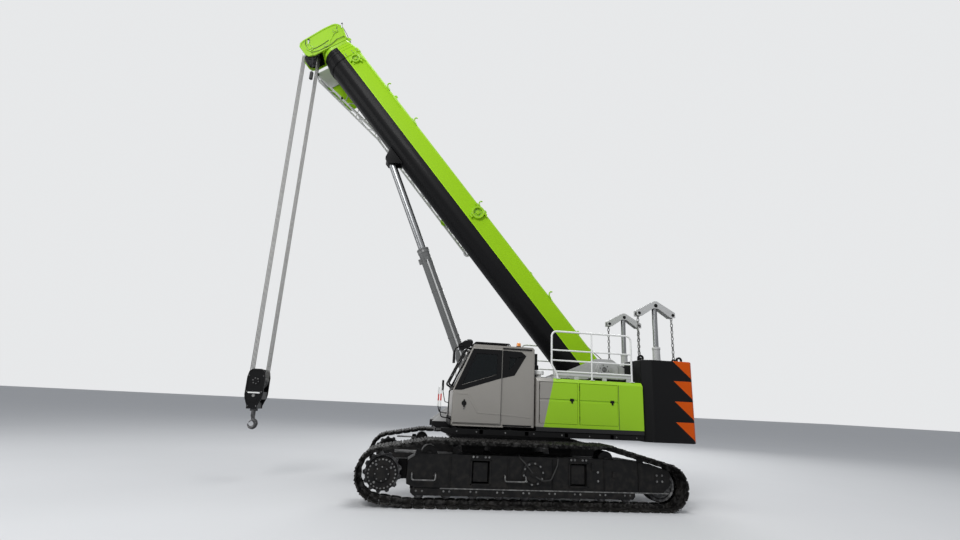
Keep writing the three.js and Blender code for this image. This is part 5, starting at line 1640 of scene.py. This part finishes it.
thick = 0.014
centre_line = Vector((-11.2, -0.45))
inner_nose = [tuple(Vector(point) + (centre_line - Vector(point)).normalized() * thick) for point in NOSE]
head.prism(list(NOSE) + inner_nose[::-1], "x", -HEAD_HALF + 0.02, HEAD_HALF - 0.02)
head.box((-0.3, -10.936, -0.72), (0.3, -10.914, 0.03))
head.prism([(-11.0, 0.062), (-11.2, 0.122), (-11.2, 0.104), (-11.0, 0.044)], "x", -0.28, 0.28)
for s, t in ((11.0, -0.56), (11.1, 0.02), (11.36, -0.78)):
    head.bar((-0.272, -s, t), (0.272, -s, t), 0.034, 20)
head.use(chassis_paint)
# The near-black sheets lining the cheeks' inner faces round the falls sheaves are painted shade for the dark
# hollow between the cheeks.
for side in (-1, 1):
    x0, x1 = side * 0.262, side * 0.268
    head.prism([(-10.95, -0.62), (-11.42, -0.62), (-11.4, -1.06), (-11.33, -1.11), (-11.05, -1.11),
        (-10.95, -0.95)], "x", x0, x1)
for x in (-0.2, 0.0, 0.2):
    head.bar((x - 0.09, -11.39, -0.93), (x + 0.09, -11.39, -0.93), 0.012, 12)
head.bar((-0.27, -11.385, -0.96), (0.27, -11.385, -0.96), 0.016, 12)
head.done("boom_head_plates", "boom_section_5", "lime_paint", bevel=0.004, replaces=("boom_head",))
bolts("head_bolts", [spot for side in (-1, 1) for s, t, radius, count in ((FALLS_S, FALLS_T, 0.077, 8),
    (GUIDE_S, GUIDE_T, 0.06, 6), (11.0, -0.56, 0.047, 6)) for spot in bolt_ring((side * (HEAD_HALF + 0.018),
    -s, t), (side, 0, 0), radius, count)], 0.008, "boom_section_5", place=BOOM)

# %% [markdown]
# The seam on the cheek, the limit switch's cable, the marker lamps and the wind cups give the head its
# ragged outline against the sky. Posts stand upright in the world, so their direction is the world's up in
# the boom's frame.

# %% Head trim
UP = Vector((0, -sin(BOOM_ANGLE), cos(BOOM_ANGLE)))
tubes("head_seams", [[(side * (HEAD_HALF + 0.004), -s, t) for s, t in ((11.435, -0.9), (11.3, -0.985),
    (11.17, -1.0), (11.09, -0.9), (11.08, -0.79), (11.09, -0.6), (11.13, -0.37), (11.2, -0.2), (11.3, -0.04),
    (11.38, 0.03))] for side in (-1, 1)], 0.009, black_rubber, "boom_section_5", "black_paint", bend=0.08,
    place=BOOM)
tubes("head_cables", [[(0.318, -10.93, 0.055), (0.325, -11.02, 0.02), (0.322, -11.03, -0.2),
    (0.322, -10.96, -0.46), (0.322, -10.96, -0.8), (0.322, -11.02, -1.0)],
    [(0.1, -10.93, 0.07), (0.1, -11.06, 0.16), (0.2, -11.2, 0.17), (0.3, -11.32, 0.15)]], 0.007, black_rubber,
    "boom_section_5", "black_paint", bend=0.05, sides=8, place=BOOM)
trim = Solid(BOOM).use(lime_paint)
trim.box((0.3, -11.06, 0.018), (0.33, -10.93, 0.06))
trim.box((-0.33, -11.06, 0.018), (-0.3, -10.93, 0.06))
for x in (-0.15, 0.13):
    trim.prism([(-10.93, 0.03), (-11.1, 0.06), (-11.02, 0.185), (-10.96, 0.185)], "x", x, x + 0.02)
trim.use(bolt_steel)
trim.turned((-0.128, -10.985, 0.155), ACROSS, [(0, 0.026), (0.02, 0.018), (0.236, 0.018), (0.256, 0.026)], 20)
for x, s, t, tall in ((0.316, 11.3, 0.12, 0.05), (0.316, 11.3, -0.9, 0.04), (-0.316, 11.3, 0.12, 0.05)):
    foot = Vector((x, -s, t))
    trim.use(white_paint).turned(foot, UP, [(-0.03, 0.014), (tall, 0.014), (tall + 0.004, 0.026),
        (tall + 0.022, 0.026), (tall + 0.022, 0)], 16)
    trim.use(chassis_paint).turned(foot + UP * (tall + 0.02), UP, [(0, 0.024), (0.03, 0.024), (0.075, 0.006),
        (0.075, 0)], 16)
trim.use(amber_lens)
trim.turned(Vector((0.0, -11.33, 0.13)), UP, [(0, 0.04), (0.05, 0.04), (0.065, 0.028), (0.065, 0)], 20)
trim.use(clear_lens)
trim.turned((0.24, -11.1, -1.15), DOWNWARD, [(-0.01, 0.045), (0.02, 0.05), (0.045, 0.04), (0.045, 0)], 20)
trim.done("head_trim", "boom_section_5", "lime_paint", bevel=0.002)

# %% [markdown]
# ## Stowed jib
# The lattice jib is folded back along the far side of the boom. Four round chords run its length, and past
# a bend the lower two drop toward its deep root under the boom head. Slim braces zigzag between them, lime
# plates close the sides near the root, and a sheave, pins and a grey nose piece finish the ends.

# %% Jib
JIB_LENGTH, JIB_BEND = 6.8, 4.3
JIB = BOOM @ Matrix.Translation((-0.9, -4.35, -0.44))


def jib_half(d):
    return 0.13 + 0.004 * d


def jib_point(d, i, j, inset=0.0):
    reach = jib_half(d) - inset
    fall = max(0.0, d - JIB_BEND) * 0.14 if j < 0 else 0.0
    return (i * reach, -d, j * reach - fall)


corners = [(1, 1), (1, -1), (-1, -1), (-1, 1)]
tubes("jib_chords", [[jib_point(d, i, j) for d in (0.02, JIB_BEND, JIB_LENGTH - 0.02)] for i, j in corners],
    0.028, pale_grey_paint, "boom_base", "lime_paint", sides=16, place=JIB, replaces=("fly_jib",))
PANELS = 17
panel = JIB_LENGTH / PANELS
braces, frames = [], []
for k, (i, j) in enumerate(corners):
    m, n = corners[(k + 1) % 4]
    for p in range(PANELS):
        ends = ((i, j), (m, n)) if p % 2 else ((m, n), (i, j))
        braces.append([jib_point(panel * p + 0.03, *ends[0]), jib_point(panel * (p + 1) - 0.03, *ends[1])])
    for d in (0.03, 2.15, JIB_BEND, JIB_LENGTH - 0.03):
        frames.append([jib_point(d, i, j), jib_point(d, m, n)])
tubes("jib_braces", braces, 0.0115, pale_grey_paint, "boom_base", "lime_paint", sides=10, place=JIB)
tubes("jib_frames", frames, 0.019, pale_grey_paint, "boom_base", "lime_paint", sides=12, place=JIB)
plates = Solid(JIB).use(lime_paint)
for i in (-1, 1):
    near, far = JIB_LENGTH - 1.32, JIB_LENGTH - 0.34
    x0, x1 = i * jib_half(far), i * (jib_half(far) - 0.01)
    outline = [jib_point(near, i, -1, 0.03), jib_point(near, i, 1, 0.03), jib_point(far, i, 1, 0.03),
        jib_point(far, i, -1, 0.03)]
    plates.prism([(y, z) for x, y, z in outline], "x", x0, x1)
plates.box((-0.11, -1.34, 0.112), (0.11, -0.03, 0.124))
hub = Vector((0, -1.19, -0.05))
for i in (-1, 1):
    start = hub + Vector((i * 0.1, 0, 0))
    plates.turned(start, (i, 0, 0), [(0, 0.125), (0.04, 0.125), (0.046, 0.118), (0.046, 0.085), (0.02, 0.08),
        (0.02, 0)], 28)
plates.use(pale_grey_paint)
for i in (-1, 1):
    x0, x1 = i * 0.165, i * 0.18
    root = [jib_point(JIB_LENGTH - 0.62, i, -1), jib_point(JIB_LENGTH - 0.62, i, 1, 0.1),
        jib_point(JIB_LENGTH - 0.06, i, 1, 0.06), jib_point(JIB_LENGTH - 0.01, i, -1, -0.01)]
    plates.prism([(y, z) for x, y, z in root], "x", x0, x1)
plates.turned((-0.06, -0.1, -0.1), ACROSS, [(0, 0.075), (0, 0.11), (0.12, 0.11), (0.12, 0.075)], 28,
    closed=True)
plates.use(forged_steel)
sheave_row(plates, jib_point(JIB_LENGTH - 0.2, 0, 0), 0.115, 1, 0.09)
plates.use(bolt_steel)
x, y, z = jib_point(JIB_LENGTH - 0.2, 0, 0)
plates.bar((x - 0.15, y, z), (x + 0.15, y, z), 0.028, 16)
plates.bar((-0.16, *hub.yz), (0.16, *hub.yz), 0.03, 16)
plates.use(chassis_paint)
for d, j in ((5.6, 1), (6.05, 1), (5.75, -1), (6.72, -1)):
    x, y, z = jib_point(d, 1, j)
    plates.bar((x - 0.01, y, z), (x + 0.07, y, z), 0.028, 14)
for d in (0.8, 3.3):
    x, y, z = jib_point(d, 1, -1)
    plates.box((x - 0.03, y - 0.06, z - 0.032), (x + 0.04, y + 0.06, z + 0.032))
plates.done("jib_plates", "boom_base", "lime_paint", bevel=0.003)
tubes("jib_cable", [[jib_point(d, 1, -1, 0.05) for d in (0.3, 2.4, 4.3, 6.7)]], 0.009, black_rubber,
    "boom_base", "black_paint", sides=8, place=JIB)

# %% [markdown]
# ## Luffing cylinder
# The rod is bright chrome under a forged eye on the boom's lugs. Below it hangs a dark barrel with a bolted
# gland, port blocks and a pipe. Both are drawn in the cylinder's own frame, which the joints give, with the
# rod's eye at the origin and the barrel straight below.

# %% Luffing cylinder
EYE = Vector(joints["luffing_cylinder_swing"]["pos_m"])
HANG = Vector(joints["luffing_cylinder_stroke"]["axis"])
lean = math.atan2(-HANG.y, -HANG.z)
CYLINDER = Matrix.Translation(EYE) @ Matrix.Rotation(-lean, 4, "X")
if ((CYLINDER.to_3x3() @ Vector((0, 0, -1))) - HANG).length > 0.01:
    CYLINDER = Matrix.Translation(EYE) @ Matrix.Rotation(lean, 4, "X")
PIN_TO_PIN, BARREL_TOP, BARREL_R, CHROME_R = 6.79, -2.54, 0.14, 0.098

rod = Solid(CYLINDER).use(chrome)
rod.turned((0, 0, -0.115), DOWNWARD, [(0, 0.09), (0.006, CHROME_R), (4.17, CHROME_R), (4.18, 0.09)], 48)
rod.use(chassis_paint)
rod.turned((-0.11, 0, 0), ACROSS, [(0, 0.067), (0, 0.122), (0.008, 0.13), (0.212, 0.13), (0.22, 0.122),
    (0.22, 0.067)], 40, closed=True)
rod.turned((0, 0, -0.075), DOWNWARD, [(0, 0.085), (0.02, 0.107), (0.055, 0.112), (0.06, 0.106), (0.06, 0)],
    40)
rod.done("luffing_rod_and_eye", "luffing_rod", "chrome", bevel=0.002, smooth=40,
    replaces=("luffing_cylinder_rod",))

barrel = Solid(CYLINDER).use(slate_grey_paint)
top = BARREL_TOP
barrel.turned((0, 0, top), DOWNWARD, [(0.0, CHROME_R + 0.006), (0.0, 0.138), (0.006, 0.156), (0.04, 0.156),
    (0.044, 0.148), (0.052, 0.148), (0.056, 0.15), (0.12, 0.15), (0.128, 0.142), (0.14, BARREL_R),
    (4.15, BARREL_R), (4.19, 0.128), (4.205, 0.1), (4.205, 0.05), (4.1, 0.05), (4.1, CHROME_R + 0.006)], 48,
    closed=True)
barrel.turned((-0.2, 0, -PIN_TO_PIN), ACROSS, [(0, 0.108), (0.01, 0.12), (0.39, 0.12), (0.4, 0.108)], 40)
barrel.box((-0.1, -0.09, -PIN_TO_PIN), (0.1, 0.09, -PIN_TO_PIN + 0.16))
for d in (-0.3, -3.9):
    barrel.box((-0.05, -0.195, top + d - 0.06), (0.05, -0.13, top + d + 0.06))
    barrel.box((0.13, -0.045, top + d - 0.045), (0.172, 0.045, top + d + 0.045))
for d in (-1.1, -2.3, -3.4):
    barrel.turned((0, 0, top + d), DOWNWARD, [(0, BARREL_R - 0.004), (0, 0.147), (0.04, 0.147),
        (0.04, BARREL_R - 0.004)], 40, closed=True)
    barrel.box((0.12, -0.03, top + d - 0.045), (0.178, 0.03, top + d + 0.005))
barrel.use(bolt_steel)
barrel.bar((-0.42, 0, -PIN_TO_PIN), (0.42, 0, -PIN_TO_PIN), 0.066, 28)
barrel.done("luffing_barrel_dressed", "luffing_barrel", "pale_grey_paint", bevel=0.003, smooth=40,
    replaces=("luffing_cylinder_barrel",))
bolts("gland_bolts", bolt_ring((0, 0, top), UPWARD, 0.131, 14), 0.009, "luffing_barrel", place=CYLINDER)
tubes("barrel_pipe", [[(0.16, 0, top - 0.33), (0.172, 0, top - 0.45), (0.172, 0, top - 3.72),
    (0.16, 0, top - 3.86)]], 0.02, pale_grey_paint, "luffing_barrel", "pale_grey_paint", bend=0.06, sides=12,
    place=CYLINDER)

# %% [markdown]
# ## Hoist rope
# The rope leaves the main winch, runs along the boom's crown and turns over the head. Along the boom it
# lies in lengths, one on each section and each a little thinner, so that they hide inside one another and
# stay end to end when the boom runs out. The length from the drum is a straight run that is put on no
# body, though the boom luffs and the drum does not.

# %% Rope along the boom
ROPE_T = 0.128
ropes("rope_on_base", [[(0, -1.0, ROPE_T), (0, -10.46, ROPE_T)]], 0.013, "boom_base", place=BOOM)
for number, start, end, radius in ((2, 10.5, 10.62, 0.0125), (3, 10.595, 10.72, 0.012),
        (4, 10.69, 10.81, 0.0115)):
    ropes(f"rope_on_section_{number}", [[(0, -3.1, ROPE_T), (0, -end, ROPE_T)]], radius,
        f"boom_section_{number}", place=BOOM)
turn = [(0, -GUIDE_S - 0.148 * sin(a), GUIDE_T + 0.148 * cos(a)) for a in [radians(k)
    for k in range(-8, 92, 10)]]
ropes("rope_over_head", [[(0.0, -3.3, ROPE_T), (0.0, -10.95, ROPE_T)] + [(0.0, y, z) for _, y,
    z in turn[1:]] + [(0.06, -11.4, -0.5), (0.11, -FALLS_S - 0.165, FALLS_T + 0.04)]], 0.011,
    "boom_section_5", place=BOOM)
drum_top = CRANE @ Vector((0.0, WINCH_Y, 2.48 + DRUM_R + 0.026))
guide = on_boom(0.0, 1.0, ROPE_T)
steps = 24
lead = [tuple(drum_top.lerp(guide, k / steps)) for k in range(steps + 1)]
drum_rope = ropes("rope_from_drum", [lead], 0.013, None, place=Matrix.Identity(4))
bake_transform(drum_rope)

# %% [markdown]
# The falls hang plumb between the head's sheaves and the block's. They shorten as the hook rises, so the
# piece sits on the falls' own body with a mesh of its own. A weight for the limit switch hangs from
# the head on two light lines.

# %% Rope falls
AXLE = Vector(joints["hook_plumb"]["pos_m"])
TOP_Z, FOOT_Z = AXLE.z - 0.03, 2.09
fall_runs = []
for x in (-0.138, -0.046, 0.046, 0.138):
    for side in (-1, 1):
        fall_runs.append([(x, AXLE.y + side * 0.168, FOOT_Z), (x, AXLE.y + side * 0.189, TOP_Z)])
falls = ropes("rope_falls_laid", fall_runs, 0.0115, "rope_falls", place=Matrix.Identity(4), lay=0.22,
    replaces=("hoist_rope_falls",))
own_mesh(falls)
limit = Solid(Matrix.Identity(4)).use(black_rubber)
WEIGHT = Vector((0.3, AXLE.y + 0.145, 9.86))
limit.turned(WEIGHT - Vector((0, 0, 0.11)), UPWARD, [(0, 0.03), (0.012, 0.046), (0.205, 0.046), (0.22, 0.03),
    (0.22, 0)], 24)
for x in (-0.02, 0.02):
    limit.bar(WEIGHT + Vector((x, 0, 0.1)), (WEIGHT.x + x * 0.5, WEIGHT.y - 0.05, AXLE.z - 0.12), 0.004, 6)
limit.done("limit_weight", "rope_falls", "black_paint", bevel=0.003)

# %% [markdown]
# ## Hook block
# Two thick cheeks hold the block's sheaves, with cover plates over them, a pale grab bar, and guards where
# the rope enters. They are flat plate, so outlines are enough here too.

# %% Hook block
BLOCK_TOP, BLOCK_BOTTOM, BLOCK_HALF, SHEAVE_Z = 2.35, 1.5, 0.21, 2.09
PLUMB = Matrix.Translation((0, AXLE.y, 0))
CHEEK_LINE = both_halves([(0.09, BLOCK_TOP), (0.165, BLOCK_TOP - 0.06), (0.19, BLOCK_TOP - 0.18),
    (0.19, BLOCK_BOTTOM + 0.3), (0.175, BLOCK_BOTTOM + 0.22), (0.11, BLOCK_BOTTOM + 0.06),
    (0.11, BLOCK_BOTTOM)])
block = Solid(PLUMB).use(black_paint)
for side in (-1, 1):
    block.prism(CHEEK_LINE, "x", side * (BLOCK_HALF - 0.024), side * BLOCK_HALF)
    frame_band(CHEEK_LINE, 0.03, side * (BLOCK_HALF - 0.002), side * (BLOCK_HALF + 0.01), block)
    start = Vector((side * BLOCK_HALF, 0, SHEAVE_Z))
    block.turned(start, (side, 0, 0), [(-0.01, 0.075), (0.016, 0.075), (0.016, 0.045), (0.03, 0.042),
        (0.03, 0)], 28)
    block.box((side * 0.205, -0.085, 1.64), (side * 0.222, 0.085, 1.72))
block.box((-0.2, -0.1, BLOCK_BOTTOM), (0.2, 0.1, BLOCK_BOTTOM + 0.13))
for side in (-1, 1):
    block.box((-0.19, side * 0.168 - 0.008, 1.7), (0.19, side * 0.168 + 0.008, 1.86))
    block.box((-0.19, side * 0.13 - 0.006, 2.235), (0.19, side * 0.13 + 0.006, 2.285))
for x in (-0.142, -0.096, -0.05, 0.0, 0.05, 0.096, 0.142):
    block.box((x - 0.004, -0.095, 2.292), (x + 0.004, 0.095, 2.345))
block.use(white_paint)
for side in (-1, 1):
    x0, x1 = side * (BLOCK_HALF + 0.004), side * (BLOCK_HALF + 0.026)
    block.box((x0, -0.125, 1.99 - 0.165), (x1, 0.125, 2.018 - 0.165))
block.use(bolt_steel)
block.bar((-0.226, 0, 1.78), (0.226, 0, 1.78), 0.034, 20)
block.done("hook_block_plates", "hook_block", "black_paint", bevel=0.003, replaces=("hook_block",))
pulleys = Solid(PLUMB).use(forged_steel)
sheave_row(pulleys, (0, 0, SHEAVE_Z), 0.18, 4, 0.092)
pulleys.bar((-0.19, 0, SHEAVE_Z), (0.19, 0, SHEAVE_Z), 0.04, 20)
pulleys.done("hook_block_sheaves_grooved", "hook_block", "forged_steel", bevel=0.002,
    replaces=("hook_block_sheaves",))
bolts("block_bolts", [spot for side in (-1, 1) for spot in bolt_ring((side * (BLOCK_HALF + 0.016), 0,
    SHEAVE_Z), (side, 0, 0), 0.06, 6)] + [((side * (BLOCK_HALF + 0.01), y, z), (side, 0, 0))
    for side in (-1, 1) for y, z in ((-0.15, 2.2), (0.15, 2.2), (-0.15, 1.86), (0.15, 1.86), (-0.085, 1.56),
    (0.085, 1.56))], 0.009, "hook_block", place=PLUMB)

# %% [markdown]
# The hook is one forging, a round section swept along a line that starts straight under the nut, swings
# round the bowl and lifts at the tip. The section tapers to the point, and a safety latch closes the
# opening.

# %% Hook
BOWL_Z, BOWL_R = 1.184, 0.082
hook_line = [(0.0, BOWL_Z + 0.165, 0.038), (0.008, BOWL_Z + 0.125, 0.04)]
for k in range(15):
    angle = math.pi * (0.42 - 1.42 * k / 14)
    swell = 0.04 + 0.006 * sin(math.pi * min(1, k / 9))
    hook_line.append((BOWL_R * cos(angle), BOWL_Z + BOWL_R * sin(angle), swell if k < 9
        else swell * (1 - 0.13 * (k - 8))))
hook_rings = []
for i, (y, z, r) in enumerate(hook_line):
    a, b = hook_line[max(i - 1, 0)], hook_line[min(i + 1, len(hook_line) - 1)]
    along = Vector((0, b[0] - a[0], b[1] - a[1])).normalized()
    aside = Vector((0, -along.z, along.y))
    hook_rings.append([Vector((0, y, z)) + Vector(ACROSS) * 0.85 * r * cos(CIRCLE * m / 20) + aside * r
        * sin(CIRCLE * m / 20) for m in range(20)])
forging = Solid(PLUMB).use(forged_steel)
forging.rings(hook_rings)
forging.turned((0, 0, BOWL_Z + 0.14), UPWARD, [(0, 0.036), (0.02, 0.046), (0.125, 0.046), (0.128, 0.078),
    (0.134, 0.082), (0.17, 0.082), (0.172, 0.078), (0.172, 0)], 32)
forging.use(bolt_steel)
forging.prism([(0.02, BOWL_Z + 0.098), (-0.06, BOWL_Z + 0.02), (-0.072, BOWL_Z + 0.03),
    (0.012, BOWL_Z + 0.118)], "x", -0.024, 0.024)
forging.bar((-0.034, 0.016, BOWL_Z + 0.108), (0.034, 0.016, BOWL_Z + 0.108), 0.009, 12)
forging.done("hook_forging", "hook", "forged_steel", bevel=0.0015, smooth=50, replaces=("hook",))
